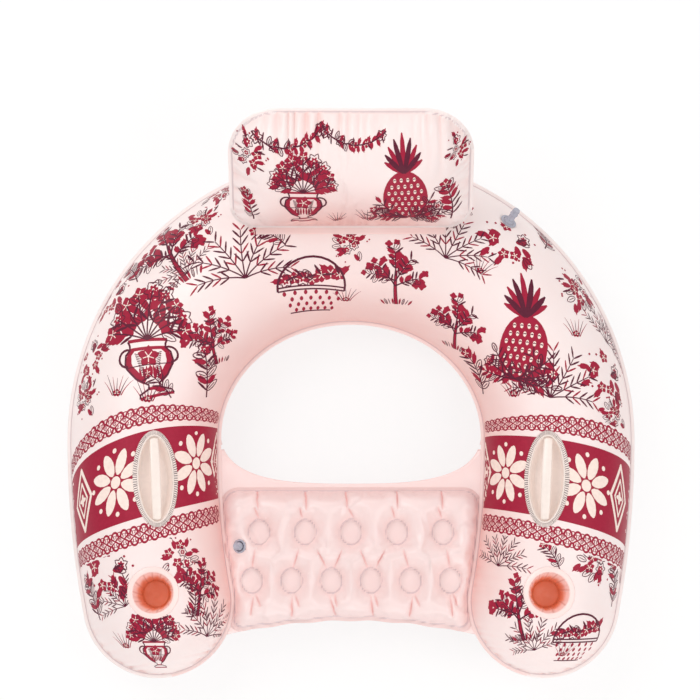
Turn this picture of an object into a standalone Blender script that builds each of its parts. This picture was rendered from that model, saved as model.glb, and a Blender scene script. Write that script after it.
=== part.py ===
# Inflatable pool chair: a horseshoe ring of welded PVC film with a tilting headrest, a tufted seat,
# two moulded grab handles, two cup holders and three push-in valves.
# Metres, +Z up. The open front of the horseshoe faces -Y. The chair stands on Z = 0.

import math

import bmesh
import bpy
from mathutils import Matrix, Vector
from mathutils.geometry import delaunay_2d_cdt

# Film and welds
FILM = 0.0005            # thickness of the PVC film
WELD_GAP = 0.0003        # clearance between welded or seated pieces
SEAM_WIDTH = 0.007       # flat welded rim round every air chamber

# Ring: plan of its centre line, and its inflated section
RING_HALF_WIDTH = 0.387  # centre line, from the middle to an arm
RING_BACK_DEPTH = 0.376  # centre line, from the widest place to the back
ARM_BOW = 0.806          # front half-axis of the arms' gentle inward curve
ARM_LENGTH = 0.306       # centre line, from the widest place to the middle of an arm's round end
TUBE_BACK = 0.156        # half width of the tube at the back
TUBE_ARM = 0.137         # half width of the tube beside the seat
TUBE_TIP = 0.134         # half width of the tube at the arms' round ends
CROWN_SHARE = 0.86       # crown height above the seam, as a share of the tube's half width
SEAM_HEIGHT = 0.118      # height of the seam above the floor
FLOOR_FLAT = 0.002       # how far the belly is pressed flat by the floor
BACK_STEPS = 20
ARM_STEPS = 4
TIP_STEPS = 5
ROUND_STEPS = 10

# Seat: a tufted pad welded into a web that bridges the arms
HOLE_SIDE_GAP = 0.005    # from the ring's seam to the hole's side
HOLE_HALF_WIDTH = RING_HALF_WIDTH - TUBE_ARM - HOLE_SIDE_GAP
HOLE_FRONT = 0.086       # the web's back edge at the middle, in front of the widest place
HOLE_HORN = 0.030        # how far the web's horns reach back along the ring's seam
HOLE_SQUARENESS = 3.0
WEB_CLEARANCE = 0.0012   # from the ring's seam to the web's edge under the ring's rim
PAD_SIDE_GAP = 0.009     # from the ring's seam to the pad's side weld
PAD_HALF_WIDTH = RING_HALF_WIDTH - TUBE_ARM - PAD_SIDE_GAP
PAD_BACK = 0.100         # back weld of the pad, in front of the widest place
PAD_FRONT = 0.333        # front weld at the middle
PAD_FRONT_BOW = 0.030    # how much further forward the front weld lies at the corners
PAD_CORNER = 0.030
PAD_RISE = 0.034         # crown above the seam
PAD_SAG = 0.030          # belly below the seam
PAD_EDGE_RUN = 0.050     # width over which the pad swells from its edge weld
WELD_SOFTNESS = 0.0006   # a swell starts this far inside its weld
TUFT_RUN = 0.034         # width over which the pad swells from a spot weld
BACK_TUFTS = 5
BACK_TUFT_PITCH = 0.355 * PAD_HALF_WIDTH
BACK_TUFT_ROW = 0.177
FRONT_TUFTS = 6
FRONT_TUFT_PITCH = 0.306 * PAD_HALF_WIDTH
FRONT_TUFT_ROW = 0.267
TUFT_RADIUS = 0.278 * FRONT_TUFT_PITCH  # round spot welds

# Headrest pillow, hinged on a welded strip along the back's crown
PILLOW_WIDTH = 0.430
PILLOW_HEIGHT = 0.246
PILLOW_THICKNESS = 0.116
PILLOW_TOP_CORNER = 0.086
PILLOW_FOOT_CORNER = 0.042
PILLOW_TILT = 42.0       # degrees above the horizontal, leaning back
STRIP_LENGTH = 0.350
STRIP_FOOT = 0.024
STRIP_THICKNESS = 0.0008
STRIP_FIN = 0.0012       # thickness of the fin
STRIP_STEPS = 12
HINGE_HEIGHT = 0.0035    # live hinge above the crown
HINGE_CLEARANCE = 0.0008  # from the live hinge down to the strip's fin
PILLOW_FULLNESS = 0.62   # lower is fuller
TUFT_STEPS = 10
TUFT_NET = 0.007
PAD_NET = ((0.0, 64), (0.008, 54), (0.024, 44))  # depth, points
PAD_SPACING = 0.028
PILLOW_NET = ((0.0, 46), (0.008, 42), (0.026, 34), (0.055, 26), (0.090, 18))  # depth, points

# Cup holders at the arms' ends
CUP_STATION = 0.292      # in front of the widest place
CUP_MOUTH = 0.0375       # radius of the mouth
CUP_BASE = 0.0255        # radius of the base
CUP_DEPTH = 0.094
CUP_RIM = 0.0095         # width of the welded rim
CUP_BEND = 0.0008        # from the mouth out to the bend of the rim
CUP_CORNER = 0.003       # width of the sleeve's hem under the base
CUP_STEPS = 24

# Grab handles
HANDLE_STATION = 0.086   # in front of the widest place
HANDLE_INBOARD = 0.028   # from the arm's crown towards the seat
HANDLE_HALF_LENGTH = 0.0885
HANDLE_HALF_WIDTH = 0.0415
HANDLE_RIM = 0.010
HANDLE_WALL = 0.0010
WELL_DEPTH = 0.030
WELL_FLOOR_SHARE = 0.74  # size of the well's floor against its mouth
LIP_HEIGHT = 0.0030
LIP_FOOT = 0.0035        # width of the lip at its foot
LIP_TOP = 0.0022         # width of the lip at its top
GRIP_WIDTH = 0.018
GRIP_THICKNESS = 0.007
GRIP_ARCH = 0.005
GRIP_TAPER = 0.22        # how much narrower the grip is at its ends
GRIP_UNDERSIDE = 0.55    # fullness of the grip's underside against its top
GRIP_STEPS = 14
GRIP_SIDES = 10
GRIP_END_GAP = 0.0007    # from the grip's ends to the well's many-sided wall
WALL_STEP = 0.0006       # from the lip in to the well's wall
HANDLE_STEPS = 28
HANDLE_CUT = (-0.05, 0.03)  # foot and top of the cutter that opens the film

# Valves: one size for all three chambers
VALVE_FLANGE = 0.016     # outer radius of the welded flange
VALVE_MOUTH = 0.0106     # radius of the flange's opening and of the hole in the film
VALVE_FLANGE_THICKNESS = 0.0008
VALVE_FLANGE_BEVEL = 0.0004
STEM_RADIUS = 0.0065
STEM_BORE = 0.0040
STEM_LENGTH = 0.016
STEM_FOOT = 0.0074       # radius of the foot that the boot holds
STEM_FOOT_HEIGHT = 0.0012
STEM_STAND = 0.006       # foot of the stem above the film when it is pulled out
STEM_TRAVEL = 0.018      # how far the stem pushes in
COLLAR_RADIUS = 0.0076
COLLAR_HEIGHT = 0.0025
COLLAR_DROP = 0.0008     # from the stem's top down to the collar
STEM_CHAMFER = 0.0004
LUG_DROP = 0.0022        # from the stem's top down to the foot of the cap's lug
EAR_HALF_WIDTH = 0.002   # of the ear that the flap hinges on
CAP_RADIUS = 0.0068
CAP_HEIGHT = 0.0090
CAP_RIBS = 4
CAP_GROOVE = 0.0007
PLUG_LENGTH = 0.0038
PLUG_FOOT_SHARE = 0.72   # radius of the plug's foot against the stem's bore
PLUG_TOP_SHARE = 0.92
CAP_HINGE = 0.0098       # from the valve's axis to the cap's strap hinge
STRAP_WIDTH = 0.0036
STRAP_HEIGHT = 0.0010
BOOT_WALL = 0.0007
BOOT_BEND_IN = (0.8, 0.6)     # bend of the boot with its stem pushed in: share of the mouth, and of the drop
BOOT_BEND_OUT = (0.45, 0.65)  # the same with the stem pulled out
FLAP_RADIUS = 0.0056
FLAP_THICKNESS = 0.0006
VALVE_STEPS = 14
VALVE_CUT = 0.03         # how far the cutter reaches above and below the film
RING_VALVE_ANGLE = 36.0  # degrees round the back, from the middle towards +X
RING_VALVE_SHARE = 0.6   # of the way from the crown round to the outer seam
SEAT_VALVE_INSET = 0.034  # from the pad's side weld to the valve's axis
SEAT_VALVE = (SEAT_VALVE_INSET - PAD_HALF_WIDTH, -0.204)
SEAT_VALVE_FLANGE = 0.0132
SEAT_VALVE_HEIGHT = 0.021  # above the pad's seam
SEAT_VALVE_LEAN = 27.0   # degrees, towards the arm
SEAT_VALVE_FLAT = 0.0142  # radius of the flat round the seat's valve
SEAT_VALVE_BLEND = 0.005
PILLOW_VALVE = (0.2674 * PILLOW_WIDTH, 0.4268 * PILLOW_HEIGHT)  # along the hinge, and up the pillow's back
PILLOW_VALVE_FLAT = VALVE_FLANGE + 0.0015  # radius of the flat round the headrest's valve
PILLOW_VALVE_BLEND = 0.010

SMOOTH_ANGLE = math.radians(35)
LIFT = WELD_GAP / 2 + FILM  # outer face of a welded rim above or below its seam's plane


# Scene and object helpers

def clear_scene():
    for old in list(bpy.data.objects):
        bpy.data.objects.remove(old, do_unlink=True)


def material(name, colour, roughness, alpha=1.0):
    made = bpy.data.materials.new(name)
    made.use_nodes = True
    shader = made.node_tree.nodes["Principled BSDF"]
    shader.inputs["Base Color"].default_value = (*colour, 1.0)
    shader.inputs["Roughness"].default_value = roughness
    shader.inputs["Metallic"].default_value = 0.0
    shader.inputs["Alpha"].default_value = alpha
    made.diffuse_color = (*colour, alpha)
    return made


def empty(name, parent=None, place=None):
    made = bpy.data.objects.new(name, None)
    bpy.context.scene.collection.objects.link(made)
    made.parent = parent
    made.matrix_local = place or Matrix.Identity(4)
    return made


def part(name, shape, finish, parent, place=None):
    mesh = bpy.data.meshes.new(name)
    shape.to_mesh(mesh)
    shape.free()
    mesh.materials.append(finish)
    mesh.shade_smooth()
    mesh.set_sharp_from_angle(angle=SMOOTH_ANGLE)
    made = bpy.data.objects.new(name, mesh)
    bpy.context.scene.collection.objects.link(made)
    made.parent = parent
    made.matrix_local = place or Matrix.Identity(4)
    return made


def thicken(piece, wall):
    """Gives an open sheet its wall, on the side that its faces turn away from."""
    solidify = piece.modifiers.new("wall", "SOLIDIFY")
    solidify.thickness = wall
    solidify.offset = -1


def cut(piece, cutter):
    boolean = piece.modifiers.new("cut_" + cutter.name, "BOOLEAN")
    boolean.operation = "DIFFERENCE"
    boolean.solver = "EXACT"
    boolean.object = cutter


def as_cutter(piece):
    piece.hide_render = True
    piece.display_type = "WIRE"
    return piece


def sheet_of_rows(rows, closed):
    """A quad sheet through rows of points. A row may shrink to a point, and closed rows are rings."""
    shape = bmesh.new()
    made = [[shape.verts.new(point) for point in row] for row in rows]
    for lower, upper in zip(made, made[1:]):
        count = len(lower)
        for i in range(count if closed else count - 1):
            j = (i + 1) % count
            shape.faces.new((lower[i], lower[j], upper[j], upper[i]))
    bmesh.ops.remove_doubles(shape, verts=shape.verts, dist=1e-5)
    return shape


def turned(profile, steps):
    """A closed solid turned round Z from (radius, height) points, from its foot on the axis to its top."""
    rows = [
        [Vector((radius * math.cos(a), radius * math.sin(a), height)) for a in ring_angles(steps)]
        for radius, height in profile
    ]
    shape = sheet_of_rows(rows, closed=True)
    bmesh.ops.recalc_face_normals(shape, faces=shape.faces)
    return shape


def tube_wall(profile, steps):
    """A closed ring-shaped solid from a closed loop of (radius, height) points."""
    return turned([*profile, profile[0]], steps)


def ring_angles(steps):
    return [2 * math.pi * i / steps for i in range(steps)]


def box_shape(low, high):
    shape = bmesh.new()
    bmesh.ops.create_cube(shape, size=1.0)
    size = Vector(high) - Vector(low)
    bmesh.ops.scale(shape, vec=size, verts=shape.verts)
    bmesh.ops.translate(shape, vec=(Vector(high) + Vector(low)) / 2, verts=shape.verts)
    return shape


def drum(radius, low, high, steps):
    return turned(((0, low), (radius, low), (radius, high), (0, high)), steps)


def joined(piece, extra):
    """Unites piece with a hidden helper, so that they are one solid."""
    boolean = piece.modifiers.new("join_" + extra.name, "BOOLEAN")
    boolean.operation = "UNION"
    boolean.solver = "EXACT"
    boolean.object = extra
    as_cutter(extra)


# Ring: centre line and inflated surface

def back_point(angle):
    """Centre line of the horseshoe's back, with its outward direction. Angle 0 is the middle of the back."""
    place = Vector((RING_HALF_WIDTH * math.sin(angle), RING_BACK_DEPTH * math.cos(angle)))
    outward = Vector((math.sin(angle) / RING_HALF_WIDTH, math.cos(angle) / RING_BACK_DEPTH)).normalized()
    swell = math.cos(angle) ** 2
    return place, outward, TUBE_ARM + (TUBE_BACK - TUBE_ARM) * swell


def arm_point(forward, side):
    """Centre line of an arm at a distance in front of the widest place. Side is 1 at +X and -1 at -X."""
    share = math.sqrt(1 - (forward / ARM_BOW) ** 2)
    place = Vector((side * RING_HALF_WIDTH * share, -forward))
    outward = Vector((side * share / RING_HALF_WIDTH, -forward / ARM_BOW ** 2)).normalized()
    half_width = TUBE_ARM + (TUBE_TIP - TUBE_ARM) * forward / ARM_LENGTH
    return place, outward, half_width


def centre_line(back_steps, arm_steps):
    """Stations along the centre line from the -X tip round the back to the +X tip."""
    left = [arm_point(ARM_LENGTH * (1 - i / arm_steps), -1) for i in range(arm_steps)]
    back = [back_point(math.pi * (i / back_steps - 0.5)) for i in range(back_steps + 1)]
    right = [arm_point(ARM_LENGTH * (i + 1) / arm_steps, 1) for i in range(arm_steps)]
    return left + back + right


LINE = centre_line(96, 24)


def nearest_on_line(x, y):
    """(distance from the ring's centre line, half width of the tube there)."""
    here = Vector((x, y))
    best = None
    for (a, _, width_a), (b, _, width_b) in zip(LINE, LINE[1:]):
        run = b - a
        share = max(0.0, min(1.0, (here - a).dot(run) / run.length_squared))
        away = (a + run * share - here).length
        if best is None or away < best[0]:
            best = (away, width_a + (width_b - width_a) * share)
    return best


def crown_arc(half_width):
    """(radius of the section's upper arc, depth of its centre below the seam)."""
    rise = CROWN_SHARE * half_width
    radius = (half_width ** 2 + rise ** 2) / (2 * rise)
    return radius, radius - rise


def belly_arc(half_width):
    drop = SEAM_HEIGHT - LIFT + FLOOR_FLAT
    radius = (half_width ** 2 + drop ** 2) / (2 * drop)
    return radius, radius - drop


def ring_top(x, y):
    """Height of the ring's upper film over a point of the plan."""
    away, half_width = nearest_on_line(x, y)
    radius, below = crown_arc(half_width)
    return SEAM_HEIGHT + LIFT + math.sqrt(max(radius ** 2 - away ** 2, 0.0)) - below


def ring_frame(x, y, along):
    """Frame on the ring's upper film: origin on the film, Z along its normal, Y as near as can be to along."""
    step = 0.002
    slope_x = (ring_top(x + step, y) - ring_top(x - step, y)) / (2 * step)
    slope_y = (ring_top(x, y + step) - ring_top(x, y - step)) / (2 * step)
    normal = Vector((-slope_x, -slope_y, 1)).normalized()
    return facing(normal, Vector((*along, 0)).cross(normal), (x, y, ring_top(x, y)))


def film_drop(frame, across, along):
    """Height of the ring's film along the frame's Z, over a point of the frame's XY plane."""
    height = 0.0
    for _ in range(12):
        spot = frame @ Vector((across, along, height))
        height -= (spot.z - ring_top(spot.x, spot.y)) / frame[2][2]
    return height


def section_turns(radius, spread, upper):
    """Angles round a section from the outer seam to the inner one. The belly has a flat between two of them."""
    if upper:
        return [spread * (1 - 2 * i / ROUND_STEPS) for i in range(ROUND_STEPS + 1)]
    flat = min(spread, math.acos(1 - FLOOR_FLAT / radius))
    half = ROUND_STEPS // 2
    outer = [spread + (flat - spread) * i / half for i in range(half + 1)]
    return outer + [-turn for turn in reversed(outer)]


def section_loop(station, past, upper, end):
    """A film's closed loop across the tube: outer face from rim to rim, then inner face back.

    Past is how far the section lies beyond an arm's end, and end is 1 at the +X arm and -1 at the other.
    """
    place, outward, half_width = station
    radius, below = crown_arc(half_width) if upper else belly_arc(half_width)
    sign = 1 if upper else -1
    along = Vector((outward.y, -outward.x)) * end
    reach = math.sqrt(max(radius ** 2 - past ** 2, below ** 2))
    spread = math.acos(below / reach)
    outer, inner = [], []
    turns = section_turns(radius, spread, upper)
    for i, turn in enumerate(turns):
        level = place + along * past + outward * (reach * math.sin(turn))
        height = sign * (LIFT + reach * math.cos(turn) - below)
        spot = Vector((*level, max(SEAM_HEIGHT + height, 0.0)))
        away = (level - place).normalized()
        on_seam = i in (0, len(turns) - 1)
        if on_seam or spread < 1e-6:
            lean = FILM * math.tan(math.acos(below / radius) / 2)
            inside = spot - Vector((*(away * lean), sign * FILM))
        else:
            normal = Vector((*(level - place), sign * reach * math.cos(turn))) / radius
            inside = spot - normal * FILM
            inside.z = max(inside.z, FILM)
        outer.append(spot)
        inner.append(inside)
        if on_seam:
            rim = spot + Vector((*(away * SEAM_WIDTH), 0))
            under = rim - Vector((0, 0, sign * FILM))
            outer.insert(0 if i == 0 else len(outer), rim)
            inner.insert(0 if i == 0 else len(inner), under)
    return outer + inner[::-1]


def ring_film(name, upper, finish, parent):
    stations = centre_line(BACK_STEPS, ARM_STEPS)
    loops = [section_loop(station, 0.0, upper, 1) for station in stations]
    for station, end in ((stations[0], -1), (stations[-1], 1)):
        for i in range(1, TIP_STEPS + 1):
            past = station[2] * math.sin(math.pi / 2 * i / TIP_STEPS)
            loop = section_loop(station, past, upper, end)
            loops.insert(0 if end < 0 else len(loops), loop)
    shape = sheet_of_rows(loops, closed=True)
    bmesh.ops.recalc_face_normals(shape, faces=shape.faces)
    return part(name, shape, finish, parent)


# Seat: web and tufted pad

def rounded_min(a, b, radius):
    """The smaller of two distances from edges, with the corner between the edges rounded."""
    if a >= radius or b >= radius:
        return min(a, b)
    return radius - math.hypot(radius - a, radius - b)


def inside_ring(x, y):
    """Distance from the ring's inner seam into the horseshoe's opening."""
    away, half_width = nearest_on_line(x, y)
    return away - half_width


def front_weld(x):
    """Y of the pad's front weld."""
    return -PAD_FRONT - PAD_FRONT_BOW * (x / HOLE_HALF_WIDTH) ** 2


def pad_depth(x, y):
    """Distance inside the pad's weld outline."""
    side = inside_ring(x, y) - PAD_SIDE_GAP
    ends = rounded_min(-PAD_BACK - y, side, PAD_CORNER)
    return rounded_min(y - front_weld(x), ends, PAD_CORNER)


def tufts():
    back = [((i - (BACK_TUFTS - 1) / 2) * BACK_TUFT_PITCH, -BACK_TUFT_ROW) for i in range(BACK_TUFTS)]
    front = [((i - (FRONT_TUFTS - 1) / 2) * FRONT_TUFT_PITCH, -FRONT_TUFT_ROW) for i in range(FRONT_TUFTS)]
    return back + front


def swell(away, run):
    """Rise of a taut film away from a weld, from 0 at the weld to 1."""
    share = max(0.0, min(1.0, (away - WELD_SOFTNESS) / run))
    return math.sqrt(1 - (1 - share) ** 2)


def pad_swell(x, y):
    """How far the pad stands off its seam, from 0 on a weld to 1."""
    share = swell(pad_depth(x, y), PAD_EDGE_RUN)
    for tuft_x, tuft_y in tufts():
        share *= swell(math.hypot(x - tuft_x, y - tuft_y) - TUFT_RADIUS, TUFT_RUN)
    return share


def pad_top(x, y):
    """The pad's upper side above its seam, flat and leaning to the arm round the valve."""
    away = math.hypot(x - SEAT_VALVE[0], y - SEAT_VALVE[1])
    share = max(0.0, min(1.0, (away - SEAT_VALVE_FLAT) / SEAT_VALVE_BLEND))
    flat = SEAT_VALVE_HEIGHT + (x - SEAT_VALVE[0]) * math.tan(math.radians(SEAT_VALVE_LEAN))
    return PAD_RISE * pad_swell(x, y) * share + flat * (1 - share)


def outline_loop(depth_at, centre, depth, steps):
    """Points round a weld outline at a distance inside it. depth_at(x, y) measures that distance."""
    loop = []
    for angle in ring_angles(steps):
        ray = Vector((math.cos(angle), math.sin(angle)))
        near, far = 0.0, 0.5
        for _ in range(30):
            middle = (near + far) / 2
            inside = depth_at(*(centre + ray * middle)) > depth
            near, far = (middle, far) if inside else (near, middle)
        loop.append(centre + ray * near)
    return loop


def pad_loop(depth, count):
    """Evenly spaced points round the pad at a distance inside its weld outline."""
    middle = Vector((0.0, -(PAD_BACK + PAD_FRONT) / 2))
    return even_loop(outline_loop(pad_depth, middle, depth, 360), count)


def even_loop(points, count):
    """The same closed loop with its points evenly spaced."""
    closed = [*points, points[0]]
    runs = [(b - a).length for a, b in zip(closed, closed[1:])]
    total = sum(runs)
    even, i, before = [], 0, 0.0
    for k in range(count):
        wanted = total * k / count
        while before + runs[i] < wanted:
            before += runs[i]
            i += 1
        even.append(closed[i].lerp(closed[i + 1], (wanted - before) / runs[i]))
    return even


def circle_loop(middle, radius, steps):
    return [Vector(middle) + Vector((math.cos(a), math.sin(a))) * radius for a in ring_angles(steps)]


def pad_net():
    """(loops, loose points) of the pad's net: loops round its weld and round each spot weld, and a filling."""
    loops = [pad_loop(depth, count) for depth, count in PAD_NET]
    rings = [(tuft, TUFT_RADIUS + away) for tuft in tufts() for away in (0.0, TUFT_NET)]
    rings.append((SEAT_VALVE, SEAT_VALVE_FLAT))
    loops += [circle_loop(middle, radius, TUFT_STEPS) for middle, radius in rings]
    loose = []
    for row in range(16):
        for column in range(-12, 13):
            spot = Vector((column + (row % 2) / 2, -(row + 0.5) * math.sqrt(3) / 2)) * PAD_SPACING
            spot.y -= PAD_BACK
            clear = all((spot - Vector(middle)).length > radius + PAD_SPACING / 2 for middle, radius in rings)
            if clear and pad_depth(*spot) > PAD_NET[-1][0] + PAD_SPACING / 3:
                loose.append(spot)
    return loops, loose


def net_sheet(outline, loops, loose, height):
    """A triangle sheet inside an outline, raised by height(x, y). The loops stay edges of its triangles."""
    every = list(outline)
    edges = []
    for loop in loops:
        edges += [(len(every) + i, len(every) + (i + 1) % len(loop)) for i in range(len(loop))]
        every += loop
    every += loose
    spots, _, faces, *_ = delaunay_2d_cdt(every, edges, [list(range(len(outline)))], 1, 1e-6)
    shape = bmesh.new()
    made = [shape.verts.new((spot.x, spot.y, height(spot.x, spot.y))) for spot in spots]
    for face in faces:
        shape.faces.new([made[i] for i in face])
    bmesh.ops.delete(shape, geom=[vert for vert in shape.verts if not vert.link_faces], context="VERTS")
    bmesh.ops.recalc_face_normals(shape, faces=shape.faces)
    if sum(face.normal.z for face in shape.faces) < 0:
        bmesh.ops.reverse_faces(shape, faces=shape.faces)
    return shape


def web_side(y):
    """X of the web's cut side, just clear of the ring's seam."""
    near, far = 0.0, RING_HALF_WIDTH
    for _ in range(30):
        middle = (near + far) / 2
        near, far = (middle, far) if inside_ring(middle, y) > WEB_CLEARANCE else (near, middle)
    return near


def web_outline():
    """The web's cut edge: the hole's edge, the -X side, the front, and the +X side."""
    hole = []
    for i in range(41):
        turn = math.pi * i / 40
        x = HOLE_HALF_WIDTH * math.copysign(abs(math.cos(turn)) ** (2 / HOLE_SQUARENESS), math.cos(turn))
        drop = (HOLE_FRONT + HOLE_HORN) * math.sin(turn) ** (2 / HOLE_SQUARENESS)
        hole.append(Vector((x, HOLE_HORN - drop)))
    levels = [HOLE_HORN - (ARM_LENGTH + HOLE_HORN) * i / 16 for i in range(1, 17)]
    side = [Vector((web_side(y), y)) for y in levels]
    corner = side[-1].x
    across = [-corner + 2 * corner * i / 24 for i in range(25)]
    front = [Vector((x, front_weld(x) - SEAM_WIDTH)) for x in across]
    return hole + [Vector((-spot.x, spot.y)) for spot in side] + front + side[::-1]


def seat_films(finish, parent):
    top_face = SEAM_HEIGHT - LIFT - WELD_GAP
    base_face = top_face - FILM - WELD_GAP
    loops, loose = pad_net()
    rim = pad_loop(-SEAM_WIDTH, PAD_NET[0][1])
    upper = net_sheet(rim, loops, loose, lambda x, y: top_face + pad_top(x, y))
    top = part("seat_top_film", upper, finish, parent)
    thicken(top, FILM)
    lower = net_sheet(web_outline(), loops, loose, lambda x, y: base_face - PAD_SAG * pad_swell(x, y))
    base = part("seat_base_film", lower, finish, parent)
    thicken(base, FILM)
    return top


# Headrest: hinge strip, and a pillow of two films

def pillow_depth(x, up):
    """Distance inside the pillow's weld outline. X runs along the hinge, up runs up the pillow from it."""
    middle = (SEAM_WIDTH + PILLOW_HEIGHT) / 2
    radius = PILLOW_TOP_CORNER if up > middle else PILLOW_FOOT_CORNER
    side = PILLOW_WIDTH / 2 - abs(x)
    end = (PILLOW_HEIGHT - SEAM_WIDTH) / 2 - abs(up - middle)
    if side < radius and end < radius:
        return radius - math.hypot(radius - side, radius - end)
    return min(side, end)


def pillow_loop(depth, count):
    """Evenly spaced points round the pillow at a distance inside its weld outline."""
    middle = Vector((0.0, (SEAM_WIDTH + PILLOW_HEIGHT) / 2))
    return even_loop(outline_loop(pillow_depth, middle, depth, 360), count)


def pillow_off(x, up):
    """How far a film stands off the pillow's seam."""
    share = max(0.0, pillow_depth(x, up)) / ((PILLOW_HEIGHT - SEAM_WIDTH) / 2)
    return LIFT + (PILLOW_THICKNESS / 2 - LIFT) * (1 - (1 - share) ** 2) ** PILLOW_FULLNESS


def pillow_slope():
    """Slope of the pillow's back film up the pillow, at its valve."""
    x, up = PILLOW_VALVE
    step = 0.001
    return (pillow_off(x, up + step) - pillow_off(x, up - step)) / (2 * step)


def pillow_back_off(x, up):
    """How far the back film stands off the pillow's seam, with a flat round its valve."""
    away = math.hypot(x - PILLOW_VALVE[0], up - PILLOW_VALVE[1])
    share = max(0.0, min(1.0, (away - PILLOW_VALVE_FLAT) / PILLOW_VALVE_BLEND))
    flat = pillow_off(*PILLOW_VALVE) + (up - PILLOW_VALVE[1]) * pillow_slope()
    return pillow_off(x, up) * share + flat * (1 - share)


def pillow_film(name, front, finish, parent):
    """One of the pillow's films, netted flat and then stood up on the hinge."""
    loops = [pillow_loop(depth, count) for depth, count in PILLOW_NET]
    if not front:
        for radius in (PILLOW_VALVE_FLAT, PILLOW_VALVE_FLAT + PILLOW_VALVE_BLEND):
            loops.append(circle_loop(PILLOW_VALVE, radius, VALVE_STEPS))
    core = PILLOW_WIDTH / 2 - PILLOW_HEIGHT / 2
    loose = [Vector((core * i / 4, (SEAM_WIDTH + PILLOW_HEIGHT) / 2)) for i in range(-4, 5)]
    rim = pillow_loop(-SEAM_WIDTH, PILLOW_NET[0][1])
    for spot in rim:
        spot.y = max(spot.y, HINGE_CLEARANCE / 2)
    height = pillow_off if front else lambda x, up: -pillow_back_off(x, up)
    shape = net_sheet(rim, loops, loose, height)
    if not front:
        bmesh.ops.reverse_faces(shape, faces=shape.faces)
    bmesh.ops.rotate(shape, matrix=Matrix.Rotation(math.pi / 2, 3, "X"), verts=shape.verts)
    piece = part(name, shape, finish, parent)
    thicken(piece, FILM)
    return piece


def hinge_line():
    """Middle of the headrest's hinge, over the crown of the ring's back."""
    return Vector((0.0, RING_BACK_DEPTH, ring_top(0.0, RING_BACK_DEPTH) + HINGE_HEIGHT))


def hinge_strip(finish, parent):
    """A foot welded along the ring's crown, with a thin fin up to the live hinge."""
    hinge = hinge_line()
    fin = STRIP_FIN / 2
    top = hinge.z - HINGE_CLEARANCE
    rows = []
    for i in range(STRIP_STEPS + 1):
        x = STRIP_LENGTH * (i / STRIP_STEPS - 0.5)
        offs = [STRIP_FOOT * quarter / 4 for quarter in range(-2, 3)]
        under = [(off, ring_top(x, hinge.y + off) + WELD_GAP) for off in offs]
        over = [(off, height + STRIP_THICKNESS) for off, height in reversed(under) if off]
        fin_foot = ring_top(x, hinge.y) + WELD_GAP + STRIP_THICKNESS
        loop = under + over[:2] + [(fin, fin_foot), (fin, top), (-fin, top), (-fin, fin_foot)] + over[2:]
        rows.append([Vector((x, hinge.y + off, height)) for off, height in loop])
    shape = sheet_of_rows(rows, closed=True)
    ends = [edge for edge in shape.edges if edge.is_boundary]
    bmesh.ops.holes_fill(shape, edges=ends)
    bmesh.ops.triangulate(shape, faces=[face for face in shape.faces if len(face.verts) > 4])
    bmesh.ops.recalc_face_normals(shape, faces=shape.faces)
    return part("headrest_hinge_strip", shape, finish, parent)


# Cup holders

def cup_frame(side):
    place, _, _ = arm_point(CUP_STATION, side)
    return Matrix.Translation((place.x, place.y, ring_top(place.x, place.y)))


def cup_holder(prefix, side, finish, parent):
    frame = cup_frame(side)
    rows = []
    rim = CUP_MOUTH + CUP_RIM
    for radius in (rim, (rim + CUP_MOUTH) / 2, CUP_MOUTH + CUP_BEND):
        rows.append([(radius, film_drop(frame, radius * math.cos(a), radius * math.sin(a))
                      + WELD_GAP + FILM) for a in ring_angles(CUP_STEPS)])
    mouth = [height for _, height in rows[-1]]
    for share in (0.03, 0.5, 1.0):
        radius = CUP_MOUTH + (CUP_BASE - CUP_MOUTH) * share
        rows.append([(radius, height * (1 - share) - CUP_DEPTH * share) for height in mouth])
    rows.append([(CUP_BASE - CUP_CORNER, -CUP_DEPTH)] * CUP_STEPS)
    spots = [
        [Vector((radius * math.cos(a), radius * math.sin(a), height))
         for (radius, height), a in zip(row, ring_angles(CUP_STEPS))]
        for row in rows
    ]
    shape = sheet_of_rows(spots, closed=True)
    sleeve = part(prefix + "_sleeve", shape, finish, parent, frame)
    thicken(sleeve, FILM)
    floor = -CUP_DEPTH + WELD_GAP
    base = drum(CUP_BASE - FILM, floor, floor + FILM, CUP_STEPS)
    part(prefix + "_base", base, finish, parent, frame)
    hole = CUP_MOUTH + FILM + WELD_GAP + CUP_BEND
    cutter = drum(hole, -CUP_RIM - CUP_MOUTH / 2, CUP_RIM + CUP_MOUTH / 2, CUP_STEPS)
    return as_cutter(part(prefix + "_hole", cutter, finish, parent, frame))


# Grab handles

def handle_frame(side):
    place, outward, _ = arm_point(HANDLE_STATION, side)
    spot = place - outward * HANDLE_INBOARD
    return ring_frame(spot.x, spot.y, Vector((-outward.y, outward.x)) * side)


def well_size(share):
    """Size of the well against its mouth, at a share of the way down its wall."""
    return 1 - (1 - WELL_FLOOR_SHARE) * share ** 1.6


def oval(half_width, half_length, steps):
    return [(half_width * math.cos(a), half_length * math.sin(a)) for a in ring_angles(steps)]


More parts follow.
